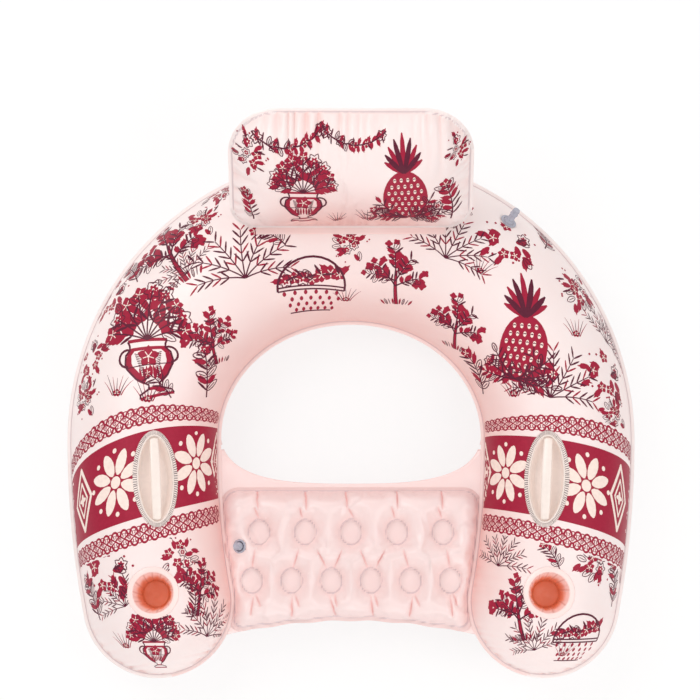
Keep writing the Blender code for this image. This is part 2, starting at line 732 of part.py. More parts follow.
def grab_handle(prefix, side, finish, parent):
    frame = handle_frame(side)
    mouth_width = HANDLE_HALF_WIDTH - HANDLE_RIM
    mouth_length = HANDLE_HALF_LENGTH - HANDLE_RIM
    rise = WELD_GAP + HANDLE_WALL

    def on_film(inset, lift):
        return [Vector((x, y, film_drop(frame, x, y) + rise + lift))
                for x, y in oval(HANDLE_HALF_WIDTH - inset, HANDLE_HALF_LENGTH - inset, HANDLE_STEPS)]

    rows = [on_film(0.0, 0.0), on_film(HANDLE_RIM - LIP_FOOT, 0.0)]
    rows += [on_film(HANDLE_RIM - LIP_TOP, LIP_HEIGHT), on_film(HANDLE_RIM, LIP_HEIGHT)]
    edge = [spot.z - LIP_HEIGHT for spot in rows[-1]]
    wall_width, wall_length = mouth_width - WALL_STEP, mouth_length - WALL_STEP
    for share in (0.0, 0.2, 0.6, 1.0):
        size = well_size(share)
        depth = -WELL_DEPTH * math.sin(math.pi / 2 * share)
        loop = oval(wall_width * size, wall_length * size, HANDLE_STEPS)
        rows.append([Vector((x, y, top * (1 - share) + depth)) for (x, y), top in zip(loop, edge)])
    shape = sheet_of_rows(rows, closed=True)
    floor = [edge for edge in shape.edges if edge.is_boundary and edge.verts[0].co.z < -WELL_DEPTH / 2]
    bmesh.ops.holes_fill(shape, edges=floor)
    bmesh.ops.poke(shape, faces=[face for face in shape.faces if len(face.verts) > 4])
    well = part(prefix + "_well", shape, finish, parent, frame)
    thicken(well, HANDLE_WALL)

    grip_share = math.asin(GRIP_THICKNESS / WELL_DEPTH) / (math.pi / 2)
    reach = wall_length * well_size(grip_share) - GRIP_END_GAP
    grip_rows = []
    for i in range(GRIP_STEPS + 1):
        along = reach * (2 * i / GRIP_STEPS - 1)
        arch = GRIP_ARCH * math.cos(math.pi / 2 * along / reach) - GRIP_THICKNESS * GRIP_UNDERSIDE
        taper = 1 - GRIP_TAPER * (along / reach) ** 4
        section = []
        for a in ring_angles(GRIP_SIDES):
            flat = 1 if math.sin(a) >= 0 else GRIP_UNDERSIDE
            section.append(Vector((GRIP_WIDTH / 2 * taper * math.cos(a), along,
                                   arch + GRIP_THICKNESS / 2 * flat * math.sin(a))))
        for corner in section:
            limit = (reach + GRIP_END_GAP) * math.sqrt(1 - (corner.x / wall_width) ** 2) - GRIP_END_GAP
            corner.y = max(-limit, min(limit, corner.y))
        grip_rows.append(section)
    grip = sheet_of_rows(grip_rows, closed=True)
    bmesh.ops.holes_fill(grip, edges=[edge for edge in grip.edges if edge.is_boundary])
    bmesh.ops.recalc_face_normals(grip, faces=grip.faces)
    part(prefix + "_grip", grip, finish, parent, frame)

    mouth = oval(mouth_width + HANDLE_WALL, mouth_length + HANDLE_WALL, HANDLE_STEPS)
    loops = [[Vector((x, y, height)) for x, y in mouth] for height in HANDLE_CUT]
    hole = sheet_of_rows(loops, closed=True)
    bmesh.ops.holes_fill(hole, edges=[edge for edge in hole.edges if edge.is_boundary])
    bmesh.ops.recalc_face_normals(hole, faces=hole.faces)
    return as_cutter(part(prefix + "_hole", hole, finish, parent, frame))


# Valves

def valve(prefix, frame, flange, pushed_in, finish, fixed_to):
    """Flange, rolling boot, stem, cap on its strap, and the flap that holds the air. Z runs out of the film."""
    base = empty(prefix + "_frame", fixed_to, frame)
    shift = Vector((0, 0, -STEM_TRAVEL if pushed_in else 0.0))
    stem_base = empty(prefix + "_slide", base, Matrix.Translation(shift))

    low, high = WELD_GAP, WELD_GAP + VALVE_FLANGE_THICKNESS
    plate = ((VALVE_MOUTH, low), (flange, low), (flange - VALVE_FLANGE_BEVEL, high), (VALVE_MOUTH, high))
    part(prefix + "_flange", tube_wall(plate, VALVE_STEPS), finish, base)

    foot = STEM_STAND + shift.z
    wide, narrow = VALVE_MOUTH - WELD_GAP, STEM_FOOT + WELD_GAP + BOOT_WALL
    lean, drop = BOOT_BEND_IN if pushed_in else BOOT_BEND_OUT
    bend = (wide * lean + narrow * (1 - lean), high + (foot - high) * drop)
    part(prefix + "_boot", tube_wall((
        (wide, high), bend, (narrow, foot + STEM_FOOT_HEIGHT), (narrow - BOOT_WALL, foot + STEM_FOOT_HEIGHT),
        (bend[0] - BOOT_WALL, bend[1]), (wide - BOOT_WALL, high)), VALVE_STEPS), finish, base)

    low, top = STEM_STAND, STEM_STAND + STEM_LENGTH
    stem = tube_wall((
        (STEM_BORE, low), (STEM_FOOT, low), (STEM_FOOT, low + STEM_FOOT_HEIGHT),
        (STEM_RADIUS, low + STEM_FOOT_HEIGHT), (STEM_RADIUS, top - COLLAR_DROP - COLLAR_HEIGHT),
        (COLLAR_RADIUS, top - COLLAR_DROP - COLLAR_HEIGHT), (COLLAR_RADIUS, top - COLLAR_DROP),
        (STEM_RADIUS, top - STEM_CHAMFER), (STEM_RADIUS, top), (STEM_BORE, top)), VALVE_STEPS)
    stem_piece = part(prefix + "_stem", stem, finish, stem_base)
    overlap = STEM_RADIUS - STEM_BORE - 3 * FILM
    lug = box_shape((STEM_BORE + overlap, -STRAP_WIDTH / 2, top - LUG_DROP),
                    (CAP_HINGE + WELD_GAP, STRAP_WIDTH / 2, top - STEM_CHAMFER))
    joined(stem_piece, part(prefix + "_lug", lug, finish, stem_base))
    ear = box_shape((-STEM_FOOT, -EAR_HALF_WIDTH, low - WELD_GAP - FLAP_THICKNESS),
                    (-STEM_FOOT + 2 * FILM, EAR_HALF_WIDTH, low + FLAP_THICKNESS))
    joined(stem_piece, part(prefix + "_ear", ear, finish, stem_base))

    foot = WELD_GAP / 2
    hinge = empty(prefix + "_cap_hinge", stem_base, Matrix.Translation((CAP_HINGE, 0, top + foot)))
    profile = [(0, foot - PLUG_LENGTH), (STEM_BORE * PLUG_FOOT_SHARE, foot - PLUG_LENGTH),
               (STEM_BORE * PLUG_TOP_SHARE, foot)]
    turns = 2 * CAP_RIBS - 1
    for i in range(turns):
        radius = CAP_RADIUS - CAP_GROOVE * (i % 2)
        profile += [(radius, foot + CAP_HEIGHT * i / turns), (radius, foot + CAP_HEIGHT * (i + 1) / turns)]
    profile.append((0, foot + CAP_HEIGHT))
    cap = turned(profile, VALVE_STEPS)
    bmesh.ops.translate(cap, vec=(-CAP_HINGE, 0, 0), verts=cap.verts)
    cap_piece = part(prefix + "_cap", cap, finish, hinge)
    strap = box_shape((-CAP_HINGE + CAP_RADIUS - 2 * FILM, -STRAP_WIDTH / 2, foot),
                      (-WELD_GAP, STRAP_WIDTH / 2, foot + STRAP_HEIGHT))
    joined(cap_piece, part(prefix + "_strap", strap, finish, hinge))

    flap_hinge = empty(prefix + "_flap_hinge", stem_base,
                       Matrix.Translation((-FLAP_RADIUS, 0, low - WELD_GAP)))
    flap = drum(FLAP_RADIUS, -FLAP_THICKNESS, 0, VALVE_STEPS)
    bmesh.ops.translate(flap, vec=(FLAP_RADIUS, 0, 0), verts=flap.verts)
    part(prefix + "_flap", flap, finish, flap_hinge)

    cutter = drum(VALVE_MOUTH, -VALVE_CUT, VALVE_CUT, VALVE_STEPS)
    return as_cutter(part(prefix + "_hole", cutter, finish, base))


def facing(normal, across, origin):
    """Frame at origin with Z along normal and X as near as can be to across."""
    along = normal.cross(across).normalized()
    frame = Matrix((along.cross(normal), along, normal)).transposed().to_4x4()
    frame.translation = origin
    return frame


def ring_valve_frame():
    """On the outer slope of the ring's back, Z out of the film."""
    place, outward, half_width = back_point(math.radians(RING_VALVE_ANGLE))
    radius, below = crown_arc(half_width)
    spot = place + outward * radius * math.sin(math.acos(below / radius) * RING_VALVE_SHARE)
    return ring_frame(spot.x, spot.y, Vector((-outward.y, outward.x)))


def seat_valve_frame():
    """On the pad's flat, Z out of the film, with the cap's hinge towards the arm."""
    lean = math.radians(SEAT_VALVE_LEAN)
    normal = Vector((-math.sin(lean), 0, math.cos(lean)))
    height = SEAM_HEIGHT - LIFT - WELD_GAP + SEAT_VALVE_HEIGHT
    return facing(normal, Vector((-1, 0, 0)), (*SEAT_VALVE, height))


def pillow_valve_frame():
    """On the pillow's back film, Z out of the film."""
    x, up = PILLOW_VALVE
    return facing(Vector((0, 1, -pillow_slope())).normalized(), Vector((1, 0, 0)), (x, pillow_off(x, up), up))


# Assembly

def footprint():
    """(lowest, highest) Y of every visible part."""
    bpy.context.view_layer.update()
    graph = bpy.context.evaluated_depsgraph_get()
    low, high = 1e9, -1e9
    for piece in bpy.data.objects:
        if piece.type == "MESH" and not piece.hide_render:
            shown = piece.evaluated_get(graph)
            for point in shown.to_mesh().vertices:
                y = (shown.matrix_world @ point.co).y
                low, high = min(low, y), max(high, y)
            shown.to_mesh_clear()
    return low, high


def build():
    clear_scene()
    printed = material("printed_pvc", (0.90, 0.70, 0.69), 0.34)
    belly = material("plain_pvc", (0.88, 0.72, 0.71), 0.34)
    seat = material("seat_pvc", (0.90, 0.72, 0.71), 0.30)
    moulded = material("clear_moulded_pvc", (0.82, 0.74, 0.71), 0.25, 0.75)
    orange = material("cup_pvc", (0.80, 0.28, 0.16), 0.30)
    tinted = material("valve_pvc", (0.55, 0.55, 0.66), 0.22, 0.8)

    chair = empty("pool_chair")
    top = ring_film("ring_top_film", True, printed, chair)
    ring_film("ring_bottom_film", False, belly, chair)
    for name, side in (("left", -1), ("right", 1)):
        cut(top, cup_holder(name + "_cup", side, orange, chair))
        cut(top, grab_handle(name + "_handle", side, moulded, chair))

    cut(top, valve("ring_valve", ring_valve_frame(), VALVE_FLANGE, False, tinted, chair))

    seat_top = seat_films(seat, chair)
    cut(seat_top, valve("seat_valve", seat_valve_frame(), SEAT_VALVE_FLANGE, True, tinted, chair))

    hinge_strip(belly, chair)
    lean = Matrix.Rotation(math.radians(PILLOW_TILT - 90), 4, "X")
    headrest = empty("headrest", chair, Matrix.Translation(hinge_line()) @ lean)
    pillow_film("headrest_front_film", True, printed, headrest)
    back = pillow_film("headrest_back_film", False, belly, headrest)
    cut(back, valve("headrest_valve", pillow_valve_frame(), VALVE_FLANGE, True, tinted, headrest))

    low, high = footprint()
    chair.location.y = -(low + high) / 2


build()
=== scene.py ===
import math
import random

import bmesh
import bpy
import numpy as np
from mathutils import Matrix, Vector
from mathutils.bvhtree import BVHTree
from mathutils.geometry import barycentric_transform


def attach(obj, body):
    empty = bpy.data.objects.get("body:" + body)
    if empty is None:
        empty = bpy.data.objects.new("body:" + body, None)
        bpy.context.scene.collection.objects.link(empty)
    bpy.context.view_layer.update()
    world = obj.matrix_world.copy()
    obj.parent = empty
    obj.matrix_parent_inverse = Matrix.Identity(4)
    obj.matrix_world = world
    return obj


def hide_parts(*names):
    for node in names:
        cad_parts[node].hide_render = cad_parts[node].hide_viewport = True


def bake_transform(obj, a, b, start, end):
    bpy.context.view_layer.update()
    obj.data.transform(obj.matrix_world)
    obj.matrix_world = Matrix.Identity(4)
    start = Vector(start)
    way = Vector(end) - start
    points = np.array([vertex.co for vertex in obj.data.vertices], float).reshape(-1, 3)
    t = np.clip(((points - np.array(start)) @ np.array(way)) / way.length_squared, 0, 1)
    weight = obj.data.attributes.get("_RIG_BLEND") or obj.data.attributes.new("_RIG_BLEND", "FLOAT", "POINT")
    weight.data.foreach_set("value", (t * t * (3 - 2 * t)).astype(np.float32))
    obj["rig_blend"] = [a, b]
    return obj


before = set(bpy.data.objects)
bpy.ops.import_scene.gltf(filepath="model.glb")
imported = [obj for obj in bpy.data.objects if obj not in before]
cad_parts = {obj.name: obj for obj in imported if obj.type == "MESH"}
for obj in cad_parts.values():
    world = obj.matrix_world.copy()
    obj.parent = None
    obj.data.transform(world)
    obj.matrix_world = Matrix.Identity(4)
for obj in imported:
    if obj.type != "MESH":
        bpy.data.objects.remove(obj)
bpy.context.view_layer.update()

# An inflatable pool chair: printed ring, tilting headrest, tufted seat, two handles, two cups, three valves
# Metres, +Z up, the open front of the horseshoe faces -Y.

scene = bpy.context.scene
print("frame loaded:", len(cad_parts), "nodes")


# Materials

def colour(code):  # sRGB hex to the linear values that the shader mixes
    parts = [int(code[i:i + 2], 16) / 255 for i in (1, 3, 5)]
    return (*[c / 12.92 if c <= 0.04045 else ((c + 0.055) / 1.055) ** 2.4 for c in parts], 1.0)


def newMaterial(name):
    material = bpy.data.materials.new(name)
    material.use_nodes = True
    return material, material.node_tree.nodes["Principled BSDF"]


def feed(owner, node, inputs):  # a socket is linked, anything else is set as it is
    for name, value in inputs.items():
        if isinstance(value, bpy.types.NodeSocket):
            owner.node_tree.links.new(value, node.inputs[name])
        else:
            node.inputs[name].default_value = value
    return node


def addNode(material, kind, settings, inputs):
    made = material.node_tree.nodes.new("ShaderNode" + kind)
    for name, value in settings.items():
        setattr(made, name, value)
    return feed(material, made, inputs)


filmWall = 0.0004
vinylIor = 1.53
nearWeldReach = 0.02  # the attribute nearWeld is this less the distance from a weld, and 0 further off
vinyl = {
    "pale": "#FDEBE8",      # the film's own pale pink, thin over the light inside, where the tint attribute is nought
    "blushAndShade": "#F4AEA4",     # deeper pink: towards the welds, and painted shade on the ring's inner side, in puckers and creases, low on the seat pad and on the pillow's lower middle
    "clear": "#FDF1EE",     # the flanges outside the welds, where the tint attribute is below nought
    "weldLine": "#BFA3AA", "weldShare": 0.5,
    "weldMark": (0.0021, 0.0009),   # the electrode's mark fades out between these distances
    "cloudMm": 110.0, "cloudShare": 0.22,       # slow changes of the tint
    "roughness": 0.36, "roughnessSpread": 0.05,
    "through": 0.045,       # painted glow: an emission that stands in for light coming through from the bright chamber behind the film
    "creaseMm": 11.0,       # spacing of the faint handling creases
    "creaseDepth": 0.00022,
    "grainMm": 0.9,         # calender grain of the film, drawn coarse enough to show
    "grainDepth": 0.000012,
}


def filmMaterial(name, look):
    # calendered soft PVC film, welded and inflated: satin gloss, a little light passes through it
    material, shader = newMaterial(name)
    place = addNode(material, "TexCoord", {}, {})
    # the tint attribute mixes in the deeper pink: a tint towards the welds, painted shade elsewhere
    blushAndShade = addNode(material, "Attribute", {"attribute_name": "blushAndShade"}, {})
    cloud = addNode(material, "TexNoise", {}, {
        "Vector": place.outputs["Object"], "Scale": 1000 / look["cloudMm"], "Detail": 2.0})
    patch = addNode(material, "Math", {"operation": "MULTIPLY_ADD"}, {
        0: cloud.outputs["Fac"], 1: look["cloudShare"], 2: -look["cloudShare"] / 2})
    depth = addNode(material, "Math", {"operation": "ADD", "use_clamp": True}, {
        0: blushAndShade.outputs["Fac"], 1: patch.outputs[0]})
    tint = addNode(material, "Mix", {"data_type": "RGBA"}, {
        0: depth.outputs[0], 6: colour(look["pale"]), 7: colour(look["blushAndShade"])})
    flange = addNode(material, "MapRange", {}, {
        "Value": blushAndShade.outputs["Fac"], "From Min": 0.0, "From Max": -1.0})
    tint = addNode(material, "Mix", {"data_type": "RGBA"}, {
        0: flange.outputs[0], 6: tint.outputs[2], 7: colour(look["clear"])})
    nearWeld = addNode(material, "Attribute", {"attribute_name": "nearWeld"}, {})
    edge = addNode(material, "MapRange", {"interpolation_type": "SMOOTHSTEP"}, {
        "Value": nearWeld.outputs["Fac"], "From Min": nearWeldReach - look["weldMark"][0],
        "From Max": nearWeldReach - look["weldMark"][1], "To Max": look["weldShare"]})
    tint = addNode(material, "Mix", {"data_type": "RGBA"}, {
        0: edge.outputs[0], 6: tint.outputs[2], 7: colour(look["weldLine"])})
    crease = addNode(material, "TexNoise", {}, {
        "Vector": place.outputs["Object"], "Scale": 1000 / look["creaseMm"] / 2, "Detail": 2.0,
        "Distortion": 0.6})
    grain = addNode(material, "TexNoise", {}, {
        "Vector": place.outputs["Object"], "Scale": 1000 / look["grainMm"] / 2, "Detail": 1.0})
    folds = addNode(material, "Bump", {}, {
        "Height": crease.outputs["Fac"], "Distance": look["creaseDepth"], "Strength": 0.5})
    skin = addNode(material, "Bump", {}, {
        "Height": grain.outputs["Fac"], "Distance": look["grainDepth"], "Strength": 0.5,
        "Normal": folds.outputs["Normal"]})
    rough = addNode(material, "MapRange", {}, {
        "Value": crease.outputs["Fac"], "To Min": look["roughness"] - look["roughnessSpread"],
        "To Max": look["roughness"] + look["roughnessSpread"]})
    # the emission is a painted glow that lifts the film where it is in shade
    feed(material, shader, {
        "Base Color": tint.outputs[2], "Roughness": rough.outputs[0], "Normal": skin.outputs["Normal"],
        "IOR": vinylIor, "Subsurface Weight": 0.22, "Subsurface Radius": (0.02, 0.009, 0.008),
        "Subsurface Scale": 0.6, "Emission Color": tint.outputs[2], "Emission Strength": look["through"]})
    return material


printedFilm = filmMaterial("calendered PVC film, printed side", vinyl)
plainFilm = filmMaterial("calendered PVC film, plain", {**vinyl, "pale": "#FBEAE7", "roughness": 0.33})
seatFilm = filmMaterial("calendered PVC film, gloss", {
    **vinyl, "pale": "#FCE4E1", "blushAndShade": "#F0B4B0", "weldLine": "#C9AFB8", "roughness": 0.25,
    "creaseDepth": 0.0003})


def shade(code, by, lift=0.0):  # a colour made darker or lighter
    return (*[min(1.0, c * by + lift) for c in colour(code)[:3]], 1.0)


def inkMaterial(name, code, roughness):
    # gravure ink on PVC: a flat coat that wears and pools a little, with the film's own satin gloss
    material, shader = newMaterial(name)
    place = addNode(material, "TexCoord", {}, {})
    pool = addNode(material, "TexNoise", {}, {
        "Vector": place.outputs["Object"], "Scale": 1000 / 6.0, "Detail": 3.0})
    tint = addNode(material, "Mix", {"data_type": "RGBA"}, {
        0: pool.outputs["Fac"], 6: shade(code, 0.86), 7: shade(code, 1.12, 0.006)})
    feed(material, shader, {
        "Base Color": tint.outputs[2], "Roughness": roughness, "IOR": 1.5, "Specular IOR Level": 0.25})
    return material


inks = {
    "crimson": inkMaterial("gravure ink, crimson", "#9E0F34", 0.42),
    "plum": inkMaterial("gravure ink, plum", "#590F2C", 0.42),
    "cream": inkMaterial("gravure ink, cream", "#F5E1D7", 0.38),
}
inkSlots = list(inks)
inkLift = {"crimson": 0.00018, "cream": 0.00024, "plum": 0.0003}    # each ink lies a little over the last


# Pieces

def addPiece(name, shape, materials, body, stands=()):
    data = bpy.data.meshes.new(name)
    shape.to_mesh(data)
    shape.free()
    for material in materials:
        data.materials.append(material)
    data.shade_smooth()
    piece = bpy.data.objects.new(name, data)
    scene.collection.objects.link(piece)
    if body:
        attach(piece, body)
    if stands:
        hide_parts(*stands)
    return piece


def gridShape(columns, rows, place):  # a grid whose points go to place(column, row), which gets whole arrays
    shape = bmesh.new()
    bmesh.ops.create_grid(shape, x_segments=columns, y_segments=rows, size=0.5)
    points = shape.verts[:]
    flat = np.array([point.co[:2] for point in points]) + 0.5
    spots = place(*np.rint(flat * (columns, rows)).astype(int).T)
    for point, spot in zip(points, spots):
        point.co = spot
    return shape


def closeUp(shape, dist=1e-6):
    bmesh.ops.remove_doubles(shape, verts=shape.verts, dist=dist)
    bmesh.ops.recalc_face_normals(shape, faces=shape.faces)
    return shape


def giveWall(piece, wall=filmWall, offset=-1.0):
    solid = piece.modifiers.new("film", "SOLIDIFY")
    solid.thickness = wall
    solid.offset = offset


def bake(piece):  # leaves the piece with its modifiers' result as its mesh
    graph = bpy.context.evaluated_depsgraph_get()
    made = bpy.data.meshes.new_from_object(piece.evaluated_get(graph))
    piece.modifiers.clear()
    piece.data = made
    return piece


def smoothStep(value, low, high):
    share = np.clip((value - low) / (high - low), 0, 1)
    return share * share * (3 - 2 * share)


def asFilm(piece, body, node):  # a blown-up film that stands for a node
    giveWall(piece)
    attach(piece, body)
    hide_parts(node)
    return piece


# Ring: an inflated horseshoe tube of two welded films

ring = {
    "halfWidth": 0.387, "backDepth": 0.376, "armBow": 0.806, "armLength": 0.306,  # centre line
    "tubeBack": 0.156, "tubeArm": 0.137, "tubeTip": 0.134,                      # half widths
    "crownShare": 0.86,        # height of the upper film over its half width
    "seamHeight": 0.118, "lift": 0.00065, "floorFlat": 0.002,
    "seam": 0.007, "seamWave": 0.0005, "seamWavePitch": 0.021,                  # flat weld round the film
    "middleY": -0.059229,      # from the widest place to the chair's middle
    "bodyColumns": 330, "tipColumns": 34, "rows": 76,
    "pleatDepth": 0.0011, "pleatReach": 0.016, "pleatPitch": 0.017,
    "tipPleatDepth": 0.0066, "tipPleatReach": 0.040, "tipPleatPitch": 0.019,
}


def centreLine():
    turn = np.linspace(-math.pi / 2, math.pi / 2, 281)
    wide, deep, bow = ring["halfWidth"], ring["backDepth"], ring["armBow"]
    back = np.stack((wide * np.sin(turn), deep * np.cos(turn), np.sin(turn) / wide, np.cos(turn) / deep,
                     ring["tubeArm"] + (ring["tubeBack"] - ring["tubeArm"]) * np.cos(turn) ** 2), 1)
    forward = np.linspace(0, ring["armLength"], 71)[1:]
    share = np.sqrt(1 - (forward / bow) ** 2)
    arm = np.stack((wide * share, -forward, share / wide, -forward / bow ** 2,
                    ring["tubeArm"] + (ring["tubeTip"] - ring["tubeArm"]) * forward / ring["armLength"]), 1)
    line = np.concatenate(((arm * (-1, 1, -1, 1, 1))[::-1], back, arm))
    line[:, 1] += ring["middleY"]
    line[:, 2:4] /= np.linalg.norm(line[:, 2:4], axis=1)[:, None]
    run = np.concatenate(((0,), np.cumsum(np.linalg.norm(np.diff(line[:, :2], axis=0), axis=1))))
    return run - run[-1] / 2, line


lineRun, line = centreLine()
armEnd = lineRun[-1]


def arcOf(halfWidth, rise):  # radius of the arc over a chord, and how far its centre is below the chord
    radius = (halfWidth ** 2 + rise ** 2) / (2 * rise)
    return radius, radius - rise


def sectionOf(width, upper):
    lowerRise = ring["seamHeight"] - ring["lift"] + ring["floorFlat"]
    return arcOf(width, ring["crownShare"] * width if upper else lowerRise)


def tubePoint(run, turn, past=0.0, upper=True, lift=0.0):
    # a point of the ring's film: run along the centre line, turn round the section, past an arm's end
    run, turn, past, lift = np.broadcast_arrays(*[np.asarray(v, float) for v in (run, turn, past, lift)])
    x, y, outX, outY, width = (np.interp(run, lineRun, line[:, i]) for i in range(5))
    size = np.hypot(outX, outY)
    outX, outY = outX / size, outY / size
    end = np.where(run < 0, -1.0, 1.0)
    radius, below = sectionOf(width, upper)
    sign = 1 if upper else -1
    reach = np.sqrt(np.maximum(radius ** 2 - past ** 2, below ** 2))
    side, up = reach * np.sin(turn), reach * np.cos(turn)
    acrossX = outX * side + outY * end * past
    acrossY = outY * side - outX * end * past
    point = np.stack((x + acrossX, y + acrossY, ring["seamHeight"] + sign * (ring["lift"] + up - below)), -1)
    normal = np.stack((acrossX, acrossY, sign * up), -1)
    normal /= np.linalg.norm(normal, axis=-1)[..., None]
    return point + normal * lift[..., None], normal


def tubeSpread(run, past=0.0, upper=True):  # turn at which the film meets its weld
    radius, below = sectionOf(np.interp(run, lineRun, line[:, 4]), upper)
    reach = np.sqrt(np.maximum(radius ** 2 - past ** 2, below ** 2))
    return np.arccos(np.clip(below / reach, -1, 1)), radius


def pleats(along, fromWeld, depth, reach, pitch):  # puckers that run in from a weld and fade
    beat = 2 * math.pi * along / pitch
    wave = np.sin(beat + 1.9 * np.sin(beat / 5.3) + 0.8 * np.sin(beat / 2.1 + 1))
    strength = 0.55 + 0.45 * np.sin(beat / 13.7 + 1)
    length = reach * (0.75 + 0.5 * np.sin(beat / 3.1 + 2) ** 2)
    fade = np.exp(-fromWeld / length) * (1 - np.exp(-fromWeld / 0.002))
    return -depth * strength * (0.5 + 0.5 * wave) ** 2 * fade


def filmFold(run, past, turn, upper=True):  # how far the film's puckers draw it in
    spread, radius = tubeSpread(run, past, upper)
    fromWeld = radius * np.maximum(spread - np.abs(turn), 0)
    roundTip = ring["tubeTip"] * np.arcsin(np.clip(past / ring["tubeTip"], 0, 1))
    along = run + np.where(run < 0, -1, 1) * roundTip
    tipped = smoothStep(np.abs(along), armEnd - 0.12, armEnd + 0.03)
    body = pleats(along + turn / spread, fromWeld,
                  ring["pleatDepth"], ring["pleatReach"], ring["pleatPitch"])
    tip = pleats(along, fromWeld, ring["tipPleatDepth"], ring["tipPleatReach"], ring["tipPleatPitch"])
    return (1 - tipped) * body + tipped * tip


ringBlushAndShade = {
    "base": 0.02, "inner": 0.52, "innerPower": 1.3,     # painted shade, deeper towards the horseshoe's opening
    "weld": 0.10, "weldReach": 0.012,
    "fold": 0.4, "foldDepth": 0.005,                    # painted shade in the puckers
    # the inner flanges take some pink with the inner side's painted shade; the outer flanges are clear
    "innerFlange": 0.28, "outerFlange": -0.5,
}


def ringFilm(name, upper, material, stands):
    tip = ring["tipColumns"]
    quarter = np.sin(np.linspace(math.pi / 2, 0, tip + 1)[:-1])
    straight = np.linspace(-armEnd, armEnd, ring["bodyColumns"] + 1)
    run = np.concatenate((np.full(tip, -armEnd), straight, np.full(tip, armEnd)))
    past = np.concatenate((quarter, np.zeros(len(straight)), quarter[::-1])) * ring["tubeTip"]
    around = np.linspace(0, 1, tip + 1)[1:] * math.pi / 2 * ring["tubeTip"] + armEnd
    seamRun = np.concatenate((-around[::-1], straight, around))
    share = np.concatenate(((1, 1), np.linspace(1, -1, ring["rows"] + 1), (-1, -1)))
    rim = np.concatenate(((1, 0.5), np.zeros(ring["rows"] + 1), (0.5, 1))) * ring["seam"]
    blushAndShade, nearWeld = [], []

    def place(column, row):
        spread, radius = tubeSpread(run[column], past[column], upper)
        point, normal = tubePoint(run[column], spread * share[row], past[column], upper)
        fromWeld = radius * spread * (1 - np.abs(share[row]))
        fold = filmFold(run[column], past[column], spread * share[row], upper)
        point = point + normal * fold[:, None]
        flat = point - tubePoint(run[column], 0, 0)[0]
        away = flat[:, :2] / np.maximum(np.linalg.norm(flat[:, :2], axis=1), 1e-9)[:, None]
        point[:, :2] += away * rim[row][:, None]
        beat = 2 * math.pi * seamRun[column] / ring["seamWavePitch"]
        wave = ring["seamWave"] * np.sin(beat + 2 * np.sin(seamRun[column] * 40))
        point[:, 2] = np.maximum(point[:, 2] + wave * rim[row] / ring["seam"], 0)
        # painted shade: deeper pink towards the horseshoe's inner side and in the puckers
        inner = smoothStep(-share[row] * (1 - past[column] / ring["tubeTip"]), -0.15, 1.0)
        body = ringBlushAndShade["base"] + ringBlushAndShade["inner"] * inner ** ringBlushAndShade["innerPower"]
        body += ringBlushAndShade["weld"] * np.exp(-fromWeld / ringBlushAndShade["weldReach"])
        body += ringBlushAndShade["fold"] * np.clip(-fold / ringBlushAndShade["foldDepth"], 0, 1)
        flange = np.where(share[row] < 0, ringBlushAndShade["innerFlange"], ringBlushAndShade["outerFlange"])
        blushAndShade.append(np.where(rim[row] > 0.001, flange, body))
        nearWeld.append(np.maximum(nearWeldReach - fromWeld - rim[row], 0))
        return point

    shape = gridShape(len(run) - 1, len(share) - 1, place)
    for layerName, values in (("blushAndShade", blushAndShade[0]), ("nearWeld", nearWeld[0])):
        layer = shape.verts.layers.float.new(layerName)
        for point, value in zip(shape.verts, values):
            point[layer] = value
    closeUp(shape, 1e-5)
    if sum(face.normal.z * face.calc_area() for face in shape.faces) * (1 if upper else -1) < 0:
        bmesh.ops.reverse_faces(shape, faces=shape.faces)
    piece = addPiece(name, shape, (material,), "float", stands)
    return piece


def ringTop(x, y):  # height of the ring's upper film over places in plan
    x, y = np.broadcast_arrays(np.asarray(x, float), np.asarray(y, float))
    away = np.hypot(x[..., None] - line[:, 0], y[..., None] - line[:, 1])
    nearest = away.argmin(-1)
    radius, below = sectionOf(line[nearest, 4], True)
    up = np.sqrt(np.maximum(radius ** 2 - away.min(-1) ** 2, 0))
    return ring["seamHeight"] + ring["lift"] + up - below


def filmSpot(x, y):  # run and turn of the film over a place in plan; run goes on over an arm's tip
    near = int(np.hypot(line[:, 0] - x, line[:, 1] - y).argmin())
    outward = line[near, 2:4]
    offset = np.array((x, y)) - line[near, :2]
    radius, _ = sectionOf(line[near, 4], True)
    end = -1 if lineRun[near] < 0 else 1
    past = max(0.0, float(offset @ (outward[1], -outward[0])) * end)
    across = float(offset @ outward)
    run = lineRun[near] + end * radius * math.asin(min(1, past / radius))
    return run, math.asin(max(-1, min(1, across / math.sqrt(max(radius ** 2 - past ** 2, 0.0001)))))


def onRing(run, turn, lift):  # points of the upper film in film coordinates, past the arms' ends too
    extra = np.clip(np.abs(run) - armEnd, 0, None)
    _, radius = tubeSpread(run)
    past = radius * np.sin(np.minimum(extra / radius, 1.4))
    body = np.clip(run, -armEnd, armEnd)
    return tubePoint(body, turn, past, True, lift + filmFold(body, past, turn))[0]


ringUpper = ringFilm("ringTopFilm", True, printedFilm, ("ring_top_film",))
ringLower = ringFilm("ringBottomFilm", False, plainFilm, ("ring_bottom_film",))
print("ring films:", len(ringUpper.data.polygons), len(ringLower.data.polygons))


# Seat: a web across the arms, with a tufted pad welded into it

